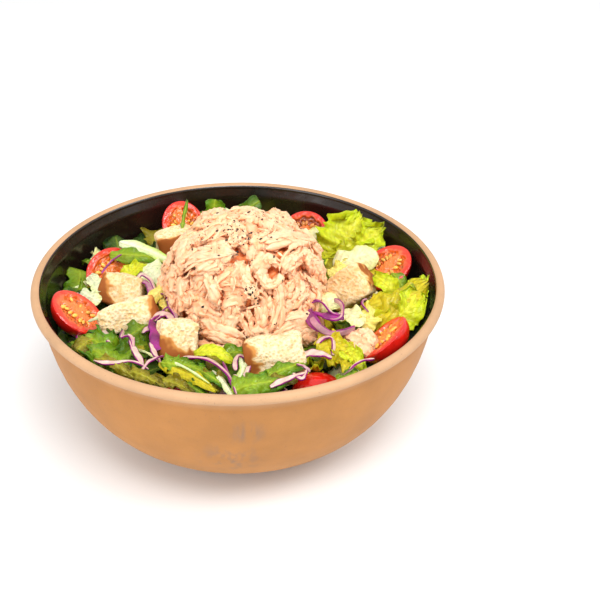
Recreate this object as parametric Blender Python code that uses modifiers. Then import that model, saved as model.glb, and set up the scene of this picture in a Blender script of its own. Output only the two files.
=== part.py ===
"""Chicken salad served in a round stoneware bowl, modelled in metres with +Z up.

The origin is the centre of the bowl's foot, on the surface that it stands on. The bowl holds one bed of
salad leaves. On the bed lie a heap of shredded chicken, one loose piece of chicken, eight halved cherry
tomatoes and six croutons. Every topping lies in a pocket of the bed, with a small gap all round.
"""

import math

import bmesh
import bpy
from mathutils import Matrix, Vector, noise

MM = 0.001

# Driving dimensions of the bowl
RIM_RADIUS = 105 * MM
BOWL_HEIGHT = 85 * MM
LIP_DIAMETER = 5 * MM
LIP_HEIGHT = 5.5 * MM
WALL_TOP_RADIUS = 101 * MM
WALL_FLAT_RADIUS = 46 * MM
INSIDE_TOP_RADIUS = 98 * MM
INSIDE_FLAT_RADIUS = 36 * MM
INSIDE_FLOOR = 9 * MM
FOOT_RADIUS = 44 * MM
FOOT_WIDTH = 6 * MM
FOOT_HEIGHT = 4 * MM
FOOT_RECESS = 3 * MM
BOWL_SEGMENTS = 44

# Fit between pieces that touch
GAP = 0.35 * MM

# Driving dimensions of the bed of leaves
BED_EDGE_HEIGHT = 63 * MM
BED_CROWN = 9 * MM
BED_SEGMENTS = 36
BED_TOP_RINGS = 9
BED_UNDER_RINGS = 5
LEAF_RELIEF = 2.2 * MM
LEAF_SPACING = 17 * MM

# Taller leaves that stand out of the bed: azimuth in degrees, distance out, height and half width
LEAF_MOUNDS = (
    (38, 74 * MM, 12 * MM, 9 * MM),
    (-6, 80 * MM, 9 * MM, 9 * MM),
    (-22, 68 * MM, 6 * MM, 10 * MM),
    (60, 66 * MM, 7 * MM, 8 * MM),
    (93, 72 * MM, 7 * MM, 8 * MM),
    (140, 62 * MM, 6 * MM, 9 * MM),
    (-90, 82 * MM, 5 * MM, 13 * MM),
    (-125, 80 * MM, 6 * MM, 11 * MM),
    (-52, 72 * MM, 4 * MM, 10 * MM),
)

# Driving dimensions of the heap of shredded chicken
HEAP_CENTRE = Vector((3.5, -3, 64)) * MM
HEAP_RADIUS = 43 * MM
HEAP_TOP = 120 * MM
HEAP_DEPTH = 8 * MM
HEAP_SQUARENESS = 2.5
HEAP_LUMP = 5 * MM
HEAP_LUMP_SPACING = 15 * MM
# How far the lumps lie below the dome, as a share of their height
HEAP_SINK = 0.35
# Tongues of meat at the foot of the heap: azimuth in degrees, reach and half angle in degrees
HEAP_TONGUES = ((-42, 13 * MM, 15), (-110, 8 * MM, 18), (155, 5 * MM, 20))

# A halved cherry tomato: half its length, half its width and its depth below the cut
TOMATO_HALF_LENGTH = 15 * MM
TOMATO_HALF_WIDTH = 13 * MM
TOMATO_DEPTH = 11.5 * MM
TOMATO_SEGMENTS = 14
TOMATO_RINGS = 8
POCKET_DEPTH = 0.8 * MM
# Reach of the seed pockets, half the wall between them and their slope, as shares of the half sizes
POCKET_REACH = (0.72, 0.74)
SEPTUM_HALF_WIDTH = 0.14
POCKET_SLOPE = 0.12

# Each half: centre of the cut in mm, the way the cut faces (azimuth and elevation), how far its long
# axis is turned from level, and its size against the dimensions above
TOMATO_HALVES = {
    "tomato_half_1": ((-80.0, -19.5, 76.0), (-14, 54), 81, 1.00),
    "tomato_half_2": ((-67.5, 25.5, 71.5), (-61, 38), 14, 1.00),
    "tomato_half_3": ((-31.0, 76.5, 71.0), (-66, 36), 86, 0.98),
    "tomato_half_4": ((37.5, 70.5, 69.5), (-116, 36), 8, 0.94),
    "tomato_half_5": ((79.0, 24.0, 74.0), (-139, 59), 72, 0.98),
    "tomato_half_6": ((68.5, -49.5, 78.5), (165, 48), 121, 0.97),
    "tomato_half_7": ((36.5, -73.0, 61.0), (120, -65), 20, 0.92),
    "tomato_half_8": ((-25.5, -75.0, 58.5), (60, -60), 150, 0.96),
}

# Each crouton: centre, width, depth and height in mm, and its turn about X, Y and Z in degrees
CROUTONS = {
    "crouton_1": ((-34.5, 52.0, 74.5), (22, 14, 13), (-10, -6, 12)),
    "crouton_2": ((-61.0, 5.5, 72.5), (22, 13, 17), (-38, 8, -12)),
    "crouton_3": ((-55.0, -26.5, 78.0), (29, 11, 14), (-32, -12, 14)),
    "crouton_4": ((-30.0, -47.5, 77.5), (19, 16, 19), (-28, 12, 10)),
    "crouton_5": ((15.5, -61.5, 77.0), (28, 17, 18), (-22, -4, 6)),
    "crouton_6": ((57.0, -5.0, 78.5), (24, 12, 18), (-36, -40, -14)),
}
CROUTON_CUTS = 3
CROUTON_ROUNDING = 0.30
CROUTON_BULGE = 1.15
CROUTON_ROUGHNESS = 0.8 * MM

# The loose piece of chicken beside the heap: centre, half sizes and turn about Z
SCRAP_CENTRE = Vector((59, -50, 73)) * MM
SCRAP_HALF_SIZE = Vector((9.5, 8, 6.5)) * MM
SCRAP_TURN = math.radians(-40)


def clear_scene():
    for thing in list(bpy.data.objects):
        bpy.data.objects.remove(thing, do_unlink=True)


def new_collection(name):
    collection = bpy.data.collections.new(name)
    bpy.context.scene.collection.children.link(collection)
    return collection


def surface(name, colour, roughness):
    """A Principled material of one colour, for a dry or a moist surface."""
    material = bpy.data.materials.new(name)
    material.use_nodes = True
    shader = material.node_tree.nodes["Principled BSDF"]
    shader.inputs["Base Color"].default_value = (*colour, 1)
    shader.inputs["Roughness"].default_value = roughness
    shader.inputs["Metallic"].default_value = 0
    return material


def piece(name, mesh, material, collection):
    thing = bpy.data.objects.new(name, mesh)
    collection.objects.link(thing)
    mesh.materials.append(material)
    return thing


def mesh_of(name, shape):
    """Turns a bmesh into a mesh with smooth faces."""
    mesh = bpy.data.meshes.new(name)
    shape.to_mesh(mesh)
    shape.free()
    mesh.shade_smooth()
    return mesh


def inside_radius(height):
    """Radius of the bowl's inner wall at a height: a quarter ellipse round a flat floor."""
    top = BOWL_HEIGHT - LIP_HEIGHT
    share = min(max((top - height) / (top - INSIDE_FLOOR), 0), 1)
    return INSIDE_FLAT_RADIUS + (INSIDE_TOP_RADIUS - INSIDE_FLAT_RADIUS) * math.sqrt(1 - share**2)


def quarter_ellipse(flat_radius, top_radius, top, bottom, start, steps):
    """Points (radius, height) of a bowl-shaped wall, from the angle start down to its flat."""
    turns = [start + (math.pi / 2 - start) * i / steps for i in range(steps + 1)]
    return [
        (flat_radius + (top_radius - flat_radius) * math.cos(t), top - (top - bottom) * math.sin(t))
        for t in turns
    ]


def bowl_profile():
    """Half section of the bowl, from its axis inside, up over the rounded lip and down to the foot."""
    lip = LIP_DIAMETER / 2
    lip_centre = (RIM_RADIUS - lip, BOWL_HEIGHT - lip)
    inside_top = BOWL_HEIGHT - LIP_HEIGHT
    inner = quarter_ellipse(INSIDE_FLAT_RADIUS, INSIDE_TOP_RADIUS, inside_top, INSIDE_FLOOR, 0, 6)
    under_lip = math.asin(LIP_HEIGHT / (BOWL_HEIGHT - FOOT_HEIGHT))
    outer = quarter_ellipse(WALL_FLAT_RADIUS, WALL_TOP_RADIUS, BOWL_HEIGHT, FOOT_HEIGHT, under_lip, 7)
    turns = [math.radians(180 - 40 * i) for i in range(7)]
    lip_arc = [(lip_centre[0] + lip * math.cos(t), lip_centre[1] + lip * math.sin(t)) for t in turns]
    foot = [
        (FOOT_RADIUS, FOOT_HEIGHT - 1 * MM),
        (FOOT_RADIUS - 0.5 * MM, 0),
        (FOOT_RADIUS - FOOT_WIDTH, 0),
        (FOOT_RADIUS - FOOT_WIDTH - 1 * MM, FOOT_RECESS),
        (0, FOOT_RECESS),
    ]
    return [(0, INSIDE_FLOOR)] + inner[::-1] + lip_arc + outer + foot


def make_bowl(collection):
    shape = bmesh.new()
    corners = [shape.verts.new((radius, 0, height)) for radius, height in bowl_profile()]
    for first, second in zip(corners, corners[1:]):
        shape.edges.new((first, second))
    mesh = bpy.data.meshes.new("bowl")
    shape.to_mesh(mesh)
    shape.free()
    bowl = piece("bowl", mesh, surface("stoneware", (0.60, 0.36, 0.18), 0.6), collection)
    turn = bowl.modifiers.new("turned on the wheel", "SCREW")
    turn.axis = "Z"
    turn.steps = turn.render_steps = BOWL_SEGMENTS
    turn.use_merge_vertices = True
    turn.merge_threshold = 0.00001
    turn.use_smooth_shade = True
    return bowl


def facing(azimuth, elevation, spin):
    """Rotation that turns local +Z to face that way, with local +X turned by spin from level."""
    azimuth, elevation, spin = (math.radians(angle) for angle in (azimuth, elevation, spin))
    return (
        Matrix.Rotation(azimuth + math.pi / 2, 4, "Z")
        @ Matrix.Rotation(math.pi / 2 - elevation, 4, "X")
        @ Matrix.Rotation(spin, 4, "Z")
    )


def seed_pockets(x, y):
    """Depth of the two seed pockets under the cut, at a place given as shares of the half sizes."""
    wall = 1 - math.hypot(x / POCKET_REACH[0], y / POCKET_REACH[1])
    septum = abs(y) - SEPTUM_HALF_WIDTH
    return POCKET_DEPTH * min(max(min(wall, septum) / POCKET_SLOPE, 0), 1)


def make_tomato_mesh():
    """Half an ellipsoid of fruit whose cut face has two shallow seed pockets beside the septum."""
    shape = bmesh.new()
    bmesh.ops.create_uvsphere(shape, u_segments=TOMATO_SEGMENTS, v_segments=TOMATO_RINGS, radius=1)
    for vertex in shape.verts:
        x, y, z = vertex.co
        depth = z * TOMATO_DEPTH if z < -0.01 else -seed_pockets(x, y)
        vertex.co = (x * TOMATO_HALF_LENGTH, y * TOMATO_HALF_WIDTH, depth)
    return mesh_of("tomato_half", shape)


def make_tomatoes(collection):
    skin = surface("tomato", (0.70, 0.02, 0.01), 0.25)
    mesh = make_tomato_mesh()
    mesh.materials.append(skin)
    halves = []
    for name, (centre, (azimuth, elevation), spin, size) in TOMATO_HALVES.items():
        half = bpy.data.objects.new(name, mesh)
        collection.objects.link(half)
        place = Matrix.Translation(Vector(centre) * MM) @ facing(azimuth, elevation, spin)
        half.matrix_world = place @ Matrix.Scale(size, 4)
        halves.append(half)
    return halves


def make_crouton_mesh(name, size, seed):
    """A torn cube of bread: a cut cube, its corners drawn in, with an uneven crumb."""
    half = Vector(size) * MM / 2
    shape = bmesh.new()
    bmesh.ops.create_cube(shape, size=2)
    bmesh.ops.subdivide_edges(shape, edges=shape.edges[:], cuts=CROUTON_CUTS, use_grid_fill=True)
    for vertex in shape.verts:
        flat = vertex.co.copy()
        rounded = flat.lerp(flat.normalized() * CROUTON_BULGE, CROUTON_ROUNDING)
        place = Vector([rounded[i] * half[i] for i in range(3)])
        spot = place / (7 * MM) + Vector((seed, 0, 0))
        crumb = Vector([noise.noise(spot + Vector((0, 0, 31 * i))) for i in range(3)])
        vertex.co = place + crumb * CROUTON_ROUGHNESS
    return mesh_of(name, shape)


def make_croutons(collection):
    bread = surface("bread", (0.80, 0.62, 0.36), 0.8)
    cubes = []
    for number, (name, (centre, size, turn)) in enumerate(CROUTONS.items()):
        cube = piece(name, make_crouton_mesh(name, size, 3.7 * number), bread, collection)
        cube.location = Vector(centre) * MM
        cube.rotation_euler = [math.radians(angle) for angle in turn]
        cubes.append(cube)
    return cubes


def lumps(place, spacing):
    """Soft lumps and creases between minus and plus one."""
    coarse = noise.noise(place / spacing)
    fine = noise.noise(place / (0.45 * spacing) + Vector((9, 4, 2)))
    return coarse + 0.5 * fine


def tongue_reach(azimuth):
    """How far the foot of the heap runs out at an azimuth in degrees."""
    reach = 0
    for centre, length, half_angle in HEAP_TONGUES:
        off = (azimuth - centre + 180) % 360 - 180
        reach += length * math.exp(-((off / half_angle) ** 2))
    return reach


def make_heap(meat, collection):
    """A steep-sided dome of torn meat, flat underneath, with tongues that run out at its foot."""
    shape = bmesh.new()
    bmesh.ops.create_icosphere(shape, subdivisions=4, radius=1)
    power = 2 / HEAP_SQUARENESS
    for vertex in shape.verts:
        x, y, z = vertex.co
        azimuth = math.degrees(math.atan2(y, x))
        level = math.copysign(abs(z) ** power, z)
        spread = math.hypot(x, y) ** power
        height = level * (HEAP_TOP - HEAP_CENTRE.z) if z > 0 else level * HEAP_DEPTH
        foot = max(1 - abs(height) / (14 * MM), 0)
        radius = spread * (HEAP_RADIUS + foot * tongue_reach(azimuth))
        out = Vector((math.cos(math.radians(azimuth)), math.sin(math.radians(azimuth)), 0))
        place = HEAP_CENTRE + out * radius + Vector((0, 0, height))
        if z > -0.2:
            place += vertex.co.normalized() * HEAP_LUMP * (lumps(place, HEAP_LUMP_SPACING) - HEAP_SINK)
        vertex.co = place
    return piece("chicken_heap", mesh_of("chicken_heap", shape), meat, collection)


def make_scrap(meat, collection):
    """The loose piece: a small torn lump."""
    shape = bmesh.new()
    bmesh.ops.create_icosphere(shape, subdivisions=2, radius=1)
    for vertex in shape.verts:
        place = Vector([vertex.co[i] * SCRAP_HALF_SIZE[i] for i in range(3)])
        vertex.co = place * (1 + 0.18 * lumps(place, 6 * MM))
    scrap = piece("chicken_piece", mesh_of("chicken_piece", shape), meat, collection)
    scrap.location = SCRAP_CENTRE
    scrap.rotation_euler.z = SCRAP_TURN
    return scrap


def bed_height(x, y):
    """Height of the leaves: a low crown, folds all over it, and mounds where tall leaves stand."""
    out = math.hypot(x, y)
    height = BED_EDGE_HEIGHT + BED_CROWN * max(1 - (out / INSIDE_TOP_RADIUS) ** 2, 0)
    fold = 1 - 2 * abs(noise.noise(Vector((x, y, 0)) / LEAF_SPACING))
    height += LEAF_RELIEF * (2 * fold - 1)
    for azimuth, distance, rise, spread in LEAF_MOUNDS:
        angle = math.radians(azimuth)
        off = math.hypot(x - distance * math.cos(angle), y - distance * math.sin(angle))
        height += rise * math.exp(-((off / spread) ** 2))
    return height


def bed_place(azimuth, share, on_top):
    """A point of the bed's top or underside, its share of the way out from the axis to the wall."""
    x, y = math.cos(azimuth), math.sin(azimuth)
    reach = inside_radius(BED_EDGE_HEIGHT)
    edge = bed_height(reach * x, reach * y)
    if on_top:
        out = share * (inside_radius(edge) - 2 * GAP)
        return (out * x, out * y, bed_height(out * x, out * y))
    floor = INSIDE_FLOOR + 2 * GAP
    height = edge - (edge - floor) * math.cos(share * math.pi / 2)
    out = (inside_radius(height - GAP) - 2 * GAP) * min(2 * share, 1)
    return (out * x, out * y, height)


def make_bed(collection):
    """Leaves that fill the bowl: a sphere with its upper rings drawn over the leaves, and the others
    drawn down the bowl's inner wall and across its floor."""
    rings = BED_TOP_RINGS + BED_UNDER_RINGS
    shape = bmesh.new()
    bmesh.ops.create_uvsphere(shape, u_segments=BED_SEGMENTS, v_segments=rings, radius=1)
    for vertex in shape.verts:
        azimuth = math.atan2(vertex.co.y, vertex.co.x)
        ring = round(math.acos(max(-1, min(1, vertex.co.z))) / math.pi * rings)
        on_top = ring <= BED_TOP_RINGS
        share = ring / BED_TOP_RINGS if on_top else (rings - ring) / BED_UNDER_RINGS
        vertex.co = bed_place(azimuth, share, on_top)
    leaves = surface("leaves", (0.16, 0.32, 0.02), 0.45)
    return piece("salad_bed", mesh_of("salad_bed", shape), leaves, collection)


def make_cutter(thing, collection):
    """A copy of a topping, swollen by the gap, that leaves its pocket in what it lies on."""
    cutter = thing.copy()
    cutter.data = thing.data.copy()
    cutter.name = thing.name + "_pocket"
    collection.objects.link(cutter)
    swell = cutter.modifiers.new("gap", "DISPLACE")
    swell.mid_level = 0
    swell.strength = 2 * GAP
    cutter.hide_render = True
    cutter.display_type = "WIRE"
    return cutter


def keep_largest(mesh):
    """Drops the loose crumbs that cutting leaves, and keeps the one large body."""
    shape = bmesh.new()
    shape.from_mesh(mesh)
    left = set(shape.verts)
    groups = []
    while left:
        group = set()
        front = [left.pop()]
        while front:
            vertex = front.pop()
            group.add(vertex)
            found = [edge.other_vert(vertex) for edge in vertex.link_edges]
            front += [other for other in found if other in left]
            left.difference_update(found)
        groups.append(group)
    largest = max(groups, key=len)
    crumbs = [vertex for group in groups if group is not largest for vertex in group]
    bmesh.ops.delete(shape, geom=crumbs, context="VERTS")
    shape.to_mesh(mesh)
    shape.free()


def cut_pockets(thing, cutters):
    """Cuts every cutter out of a piece, and leaves the result as the piece's own mesh."""
    for cutter in cutters:
        pocket = thing.modifiers.new(cutter.name, "BOOLEAN")
        pocket.operation = "DIFFERENCE"
        pocket.solver = "EXACT"
        pocket.object = cutter
    bpy.context.view_layer.update()
    evaluated = thing.evaluated_get(bpy.context.evaluated_depsgraph_get())
    mesh = bpy.data.meshes.new_from_object(evaluated)
    thing.modifiers.clear()
    keep_largest(mesh)
    mesh.name = thing.name
    thing.data = mesh


def build():
    clear_scene()
    parts = new_collection("chicken_salad")
    pockets = new_collection("pockets")
    meat = surface("chicken", (0.85, 0.50, 0.33), 0.45)
    make_bowl(parts)
    small = make_tomatoes(parts) + make_croutons(parts)
    bpy.context.view_layer.update()
    scrap = make_scrap(meat, parts)
    heap = make_heap(meat, parts)
    bed = make_bed(parts)
    small_cutters = [make_cutter(thing, pockets) for thing in small]
    scrap_cutter = make_cutter(scrap, pockets)
    heap_cutter = make_cutter(heap, pockets)
    cut_pockets(scrap, small_cutters)
    cut_pockets(heap, small_cutters + [scrap_cutter])
    cut_pockets(bed, small_cutters + [scrap_cutter, heap_cutter])


build()
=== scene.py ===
import math

import bpy
import numpy as np
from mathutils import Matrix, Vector
from mathutils.bvhtree import BVHTree


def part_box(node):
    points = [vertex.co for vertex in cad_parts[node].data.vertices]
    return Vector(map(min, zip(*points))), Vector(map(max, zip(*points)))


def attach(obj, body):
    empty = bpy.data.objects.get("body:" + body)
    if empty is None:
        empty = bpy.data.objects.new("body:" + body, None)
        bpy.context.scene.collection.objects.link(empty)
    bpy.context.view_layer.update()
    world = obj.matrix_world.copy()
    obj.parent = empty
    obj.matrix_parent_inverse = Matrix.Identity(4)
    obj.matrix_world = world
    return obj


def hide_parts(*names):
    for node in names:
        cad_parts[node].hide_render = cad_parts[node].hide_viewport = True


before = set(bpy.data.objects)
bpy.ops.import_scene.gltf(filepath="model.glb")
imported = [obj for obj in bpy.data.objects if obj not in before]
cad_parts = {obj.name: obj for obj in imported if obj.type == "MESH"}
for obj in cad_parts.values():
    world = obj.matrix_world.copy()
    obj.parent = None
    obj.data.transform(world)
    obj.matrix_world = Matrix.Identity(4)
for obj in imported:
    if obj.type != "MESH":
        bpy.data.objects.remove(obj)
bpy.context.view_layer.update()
MM = 0.001

# The bowl. Stoneware thrown on a wheel, raw and tan outside and over its rounded lip, with a black glaze
# poured inside. It is one turned wall, whose glaze ends just under the lip.

bowl_low, bowl_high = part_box("bowl")
RIM_RADIUS = bowl_high.x + 0.1 * MM
BOWL_HEIGHT = bowl_high.z
LIP = 2.5 * MM
INSIDE_RADIUS = RIM_RADIUS - 7 * MM
INSIDE_FLAT = 0.34 * RIM_RADIUS
INSIDE_FLOOR = 9 * MM
WALL_RADIUS = RIM_RADIUS - 4 * MM
WALL_FLAT = 46 * MM
WALL_BOTTOM = 4 * MM
UNDER_LIP = 5.5 * MM
INSIDE_TOP = BOWL_HEIGHT - UNDER_LIP
SEGMENTS = 220

# The clay's colour from the foot up to the lip, as shares of the height, and the glaze's two tones
CLAY = (
    (0.0, (0.49, 0.23, 0.065)), (0.45, (0.43, 0.18, 0.036)),
    (0.88, (0.42, 0.175, 0.038)), (0.95, (0.50, 0.29, 0.15)),
)
SPECK = (0.20, 0.10, 0.05)
SMUDGE = (0.16, 0.12, 0.10)
GLAZE = ((0.3, (0.007, 0.004, 0.003)), (0.7, (0.017, 0.008, 0.005)))


def skins(name, points, colour=None, uv=None):
    """One mesh from K closed skins. points[k, i, j] is point j of ring i; each skin's first and last ring
    shrink to their mean point, and every ring closes on itself. A skin that comes out inside out, by the sign
    of its volume, has its faces turned. colour and uv are given for the same grid."""
    count, rings, around = points.shape[:3]
    inner = rings - 2
    size = inner * around + 2

    def packed(values):
        ends = values[:, [0, -1]].mean(axis=2)
        body = values[:, 1:-1].reshape(count, inner * around, -1)
        return np.concatenate([body, ends], axis=1).reshape(count * size, -1)

    column = np.arange(around)
    beside = (column + 1) % around
    row = np.arange(inner - 1)[:, None] * around
    quads = np.stack([row + column, row + beside, row + around + beside, row + around + column], axis=-1)
    last = (inner - 1) * around
    top = np.stack([np.full(around, size - 2), beside, column], axis=-1)
    bottom = np.stack([np.full(around, size - 1), last + column, last + beside], axis=-1)
    places = packed(points)
    solid = places.reshape(count, size, 3) - places.reshape(count, size, 3).mean(axis=1, keepdims=True)
    a, b, c = (solid[:, quads.reshape(-1, 4)[:, i]] for i in (0, 1, 2))
    d = solid[:, quads.reshape(-1, 4)[:, 3]]
    volume = (np.cross(a, b) * c).sum(axis=(1, 2)) + (np.cross(a, c) * d).sum(axis=(1, 2))
    inside_out = volume < 0

    def placed(faces):
        flat = faces.reshape(-1, faces.shape[-1])
        both = np.where(inside_out[:, None, None], flat[:, ::-1], flat)
        return (both + size * np.arange(count)[:, None, None]).reshape(-1, faces.shape[-1])

    groups = [placed(quads), placed(top), placed(bottom)]
    loops = np.concatenate([group.ravel() for group in groups]).astype(np.int32)
    sides = np.concatenate([np.full(len(group), group.shape[1]) for group in groups])
    mesh = bpy.data.meshes.new(name)
    mesh.vertices.add(len(places))
    mesh.vertices.foreach_set("co", places.astype(np.float32).ravel())
    mesh.loops.add(len(loops))
    mesh.loops.foreach_set("vertex_index", loops)
    mesh.polygons.add(len(sides))
    mesh.polygons.foreach_set("loop_start", (np.cumsum(sides) - sides).astype(np.int32))
    mesh.update(calc_edges=True)
    mesh.shade_smooth()
    if colour is not None:
        tint = mesh.color_attributes.new("tint", "FLOAT_COLOR", "POINT")
        rgb = np.clip(packed(colour), 0, 1)
        tint.data.foreach_set("color", np.hstack([rgb, np.ones((len(rgb), 1))]).astype(np.float32).ravel())
    if uv is not None:
        layer = mesh.uv_layers.new(name="UVMap")
        layer.uv.foreach_set("vector", packed(uv)[loops].astype(np.float32).ravel())
    thing = bpy.data.objects.new(name, mesh)
    bpy.context.scene.collection.objects.link(thing)
    return thing


def all_round(count):
    """Angles of points spaced evenly round a circle."""
    return np.linspace(0, math.tau, count, endpoint=False)


def quarter_ellipse(flat, top_radius, top, bottom, start, steps):
    """Radii and heights down a bowl-shaped wall: a quarter ellipse from angle start to its flat."""
    turn = np.linspace(start, math.pi / 2, steps)
    return np.stack([flat + (top_radius - flat) * np.cos(turn), top - (top - bottom) * np.sin(turn)], axis=1)


def bowl_section():
    """Half section (radius, height): the inner wall from the axis up, the lip as an arc, the outer wall down
    to the foot ring and back to the axis. Returns it with the ring number where the glaze ends."""
    under_lip = math.asin(UNDER_LIP / (BOWL_HEIGHT - WALL_BOTTOM))
    inner = quarter_ellipse(INSIDE_FLAT, INSIDE_RADIUS, INSIDE_TOP, INSIDE_FLOOR, 0, 44)[::-1]
    floor = np.stack([np.linspace(0, INSIDE_FLAT - 1 * MM, 12), np.full(12, INSIDE_FLOOR)], axis=1)
    turn = np.radians(np.linspace(185, -75, 22))
    centre = (RIM_RADIUS - LIP, BOWL_HEIGHT - LIP)
    lip = np.stack([centre[0] + LIP * np.cos(turn), centre[1] + LIP * np.sin(turn)], axis=1)
    outer = quarter_ellipse(WALL_FLAT, WALL_RADIUS, BOWL_HEIGHT, WALL_BOTTOM, under_lip, 44)
    ring = [(44.0, 3.4), (43.8, 0.6), (43.3, 0.0), (38.4, 0.0), (37.6, 0.5), (37.0, 3.0), (0, 3.0)]
    foot = np.array(ring) * MM
    section = np.concatenate([floor, inner, lip, outer, foot])
    return section, len(floor) + len(inner) + 4


def turned(section, segments):
    """The section carried round the axis, with the slight waver that a hand leaves on a wheel."""
    turn = all_round(segments)
    radius, height = section[:, :1], section[:, 1:]
    waver = 0.12 * MM * np.sin(2 * turn + 0.6) * (height / BOWL_HEIGHT) * (radius > 0.6 * RIM_RADIUS)
    waver = waver + 0.05 * MM * np.sin(height / (1.4 * MM)) * (radius > 0.5 * RIM_RADIUS)
    out = radius + waver
    level = np.broadcast_to(height, out.shape)
    return np.stack([out * np.cos(turn), out * np.sin(turn), level], axis=-1)[None]


def principled(name, roughness, **sockets):
    """A material with its Principled shader, constant sockets set by their names."""
    material = bpy.data.materials.new(name)
    material.use_nodes = True
    shader = material.node_tree.nodes["Principled BSDF"]
    shader.inputs["Roughness"].default_value = roughness
    for socket, value in sockets.items():
        shader.inputs[socket.replace("_", " ")].default_value = value
    return material, material.node_tree, shader


def node(tree, kind, inputs=None, **settings):
    """Adds a node, sets its properties, and fills its inputs from values or from other nodes' sockets."""
    made = tree.nodes.new(kind)
    for key, value in settings.items():
        setattr(made, key, value)
    for key, value in (inputs or {}).items():
        if isinstance(value, bpy.types.NodeSocket):
            tree.links.new(value, made.inputs[key])
        else:
            made.inputs[key].default_value = value
    return made


def noise(tree, scale, detail=3.0, roughness=0.55, **inputs):
    """Noise on Object coordinates. scale is in turns a metre."""
    place = node(tree, "ShaderNodeTexCoord").outputs["Object"]
    sockets = {"Vector": place, "Scale": scale, "Detail": detail, "Roughness": roughness, **inputs}
    return node(tree, "ShaderNodeTexNoise", sockets).outputs["Fac"]


def ramp(tree, factor, stops):
    """A colour ramp through stops of (position, colour)."""
    made = node(tree, "ShaderNodeValToRGB", {"Fac": factor})
    elements = made.color_ramp.elements
    while len(elements) < len(stops):
        elements.new(0.5)
    for element, (position, colour) in zip(elements, stops):
        element.position = position
        element.color = (*colour, 1)
    return made.outputs["Color"]


def mixed(tree, factor, a, b, blend="MIX"):
    """Two colours mixed. Each of factor, a and b is a socket or a value."""
    made = node(tree, "ShaderNodeMix", data_type="RGBA", blend_type=blend)
    for key, value in ((0, factor), (6, a), (7, b)):
        if isinstance(value, bpy.types.NodeSocket):
            tree.links.new(value, made.inputs[key])
        else:
            made.inputs[key].default_value = (*value, 1) if key else value
    return made.outputs[2]


def scaled(tree, value, low, high, to_low=0.0, to_high=1.0):
    """A value's range mapped to another, and held inside it."""
    sockets = {"Value": value, "From Min": low, "From Max": high, "To Min": to_low, "To Max": to_high}
    return node(tree, "ShaderNodeMapRange", sockets).outputs["Result"]


def calc(tree, operation, *values):
    """The result of a math node."""
    return node(tree, "ShaderNodeMath", dict(enumerate(values)), operation=operation).outputs["Value"]


def dyed(tree, colour, *shares):
    """A colour multiplied by one share, or by a share for each of red, green and blue."""
    red, green, blue = shares * (3 // len(shares))
    share = node(tree, "ShaderNodeCombineColor", {"Red": red, "Green": green, "Blue": blue})
    return mixed(tree, 1.0, colour, share.outputs["Color"], "MULTIPLY")


def stretched(tree, place, scale):
    """Coordinates drawn out by a scale along each axis."""
    return node(tree, "ShaderNodeMapping", {"Vector": place, "Scale": scale}).outputs["Vector"]


def bumped(tree, shader, height, distance, strength=1.0):
    """A bump of that height, in metres, on the shader's normal."""
    bump = node(tree, "ShaderNodeBump", {"Height": height, "Distance": distance, "Strength": strength})
    tree.links.new(bump.outputs["Normal"], shader.inputs["Normal"])


def stoneware():
    """Raw fired clay: warmer towards the foot, paler on the lip, finely specked, with two faint smudges."""
    material, tree, shader = principled("stoneware_raw", 0.62)
    place = node(tree, "ShaderNodeTexCoord").outputs["Object"]
    parts = node(tree, "ShaderNodeSeparateXYZ", {"Vector": place})
    up = scaled(tree, parts.outputs["Z"], 0.0, BOWL_HEIGHT)
    cloud = scaled(tree, noise(tree, 45, 4), 0.35, 0.65, 0.90, 1.06)
    clay = dyed(tree, ramp(tree, up, CLAY), cloud)
    specks = scaled(tree, noise(tree, 1500, 1), 0.70, 0.76, 0.0, 0.55)
    clay = mixed(tree, specks, clay, SPECK)
    streaks = scaled(tree, noise(tree, 240, 2, Vector=stretched(tree, place, (1.0, 1.0, 0.3))), 0.46, 0.64)
    for middle, spread in (((-0.005, -0.088, 0.040), 0.009), ((0.003, -0.098, 0.060), 0.005)):
        away = node(tree, "ShaderNodeVectorMath", {0: place, 1: middle}, operation="DISTANCE")
        near = scaled(tree, away.outputs["Value"], 0.4 * spread, 2 * spread, 0.55, 0.0)
        clay = mixed(tree, calc(tree, "MULTIPLY", near, streaks), clay, SMUDGE)
    tree.links.new(clay, shader.inputs["Base Color"])
    bumped(tree, shader, noise(tree, 900, 3), 0.0001, 0.6)
    return material


def glaze():
    """Black glaze with a faint brown cast, softly uneven in its gloss."""
    material, tree, shader = principled("black_glaze", 0.22, Coat_Weight=0.3, Coat_Roughness=0.12)
    tree.links.new(ramp(tree, noise(tree, 30, 3), GLAZE), shader.inputs["Base Color"])
    tree.links.new(scaled(tree, noise(tree, 90, 2), 0.3, 0.7, 0.16, 0.32), shader.inputs["Roughness"])
    bumped(tree, shader, noise(tree, 160, 2), 0.00025, 0.5)
    return material


def served(thing, source, slot, *materials):
    """Gives a piece its materials, the body it rides on and the CAD node it replaces. slot is not used."""
    for material in materials:
        thing.data.materials.append(material)
    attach(thing, "root")
    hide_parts(source)


section, glaze_end = bowl_section()
bowl = skins("bowl_turned", turned(section, SEGMENTS))
served(bowl, "bowl", "stoneware", stoneware(), glaze())
ring_of_face = np.repeat([*range(1, len(section) - 2), 0, len(section)], SEGMENTS)
bowl.data.polygons.foreach_set("material_index", (ring_of_face < glaze_end).astype(np.int32))

# The bed. Under the leaves that show, the bowl is packed with more leaves. Here they are one rough mound, a
# little lower than the bed's own surface, painted dark green as the shade among the leaves above it.


def corners_of(name):
    """A CAD node's corners, as rows of x, y and z."""
    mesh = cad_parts[name].data
    flat = np.empty(3 * len(mesh.vertices), np.float32)
    mesh.vertices.foreach_get("co", flat)
    return flat.reshape(-1, 3).astype(float)


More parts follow.
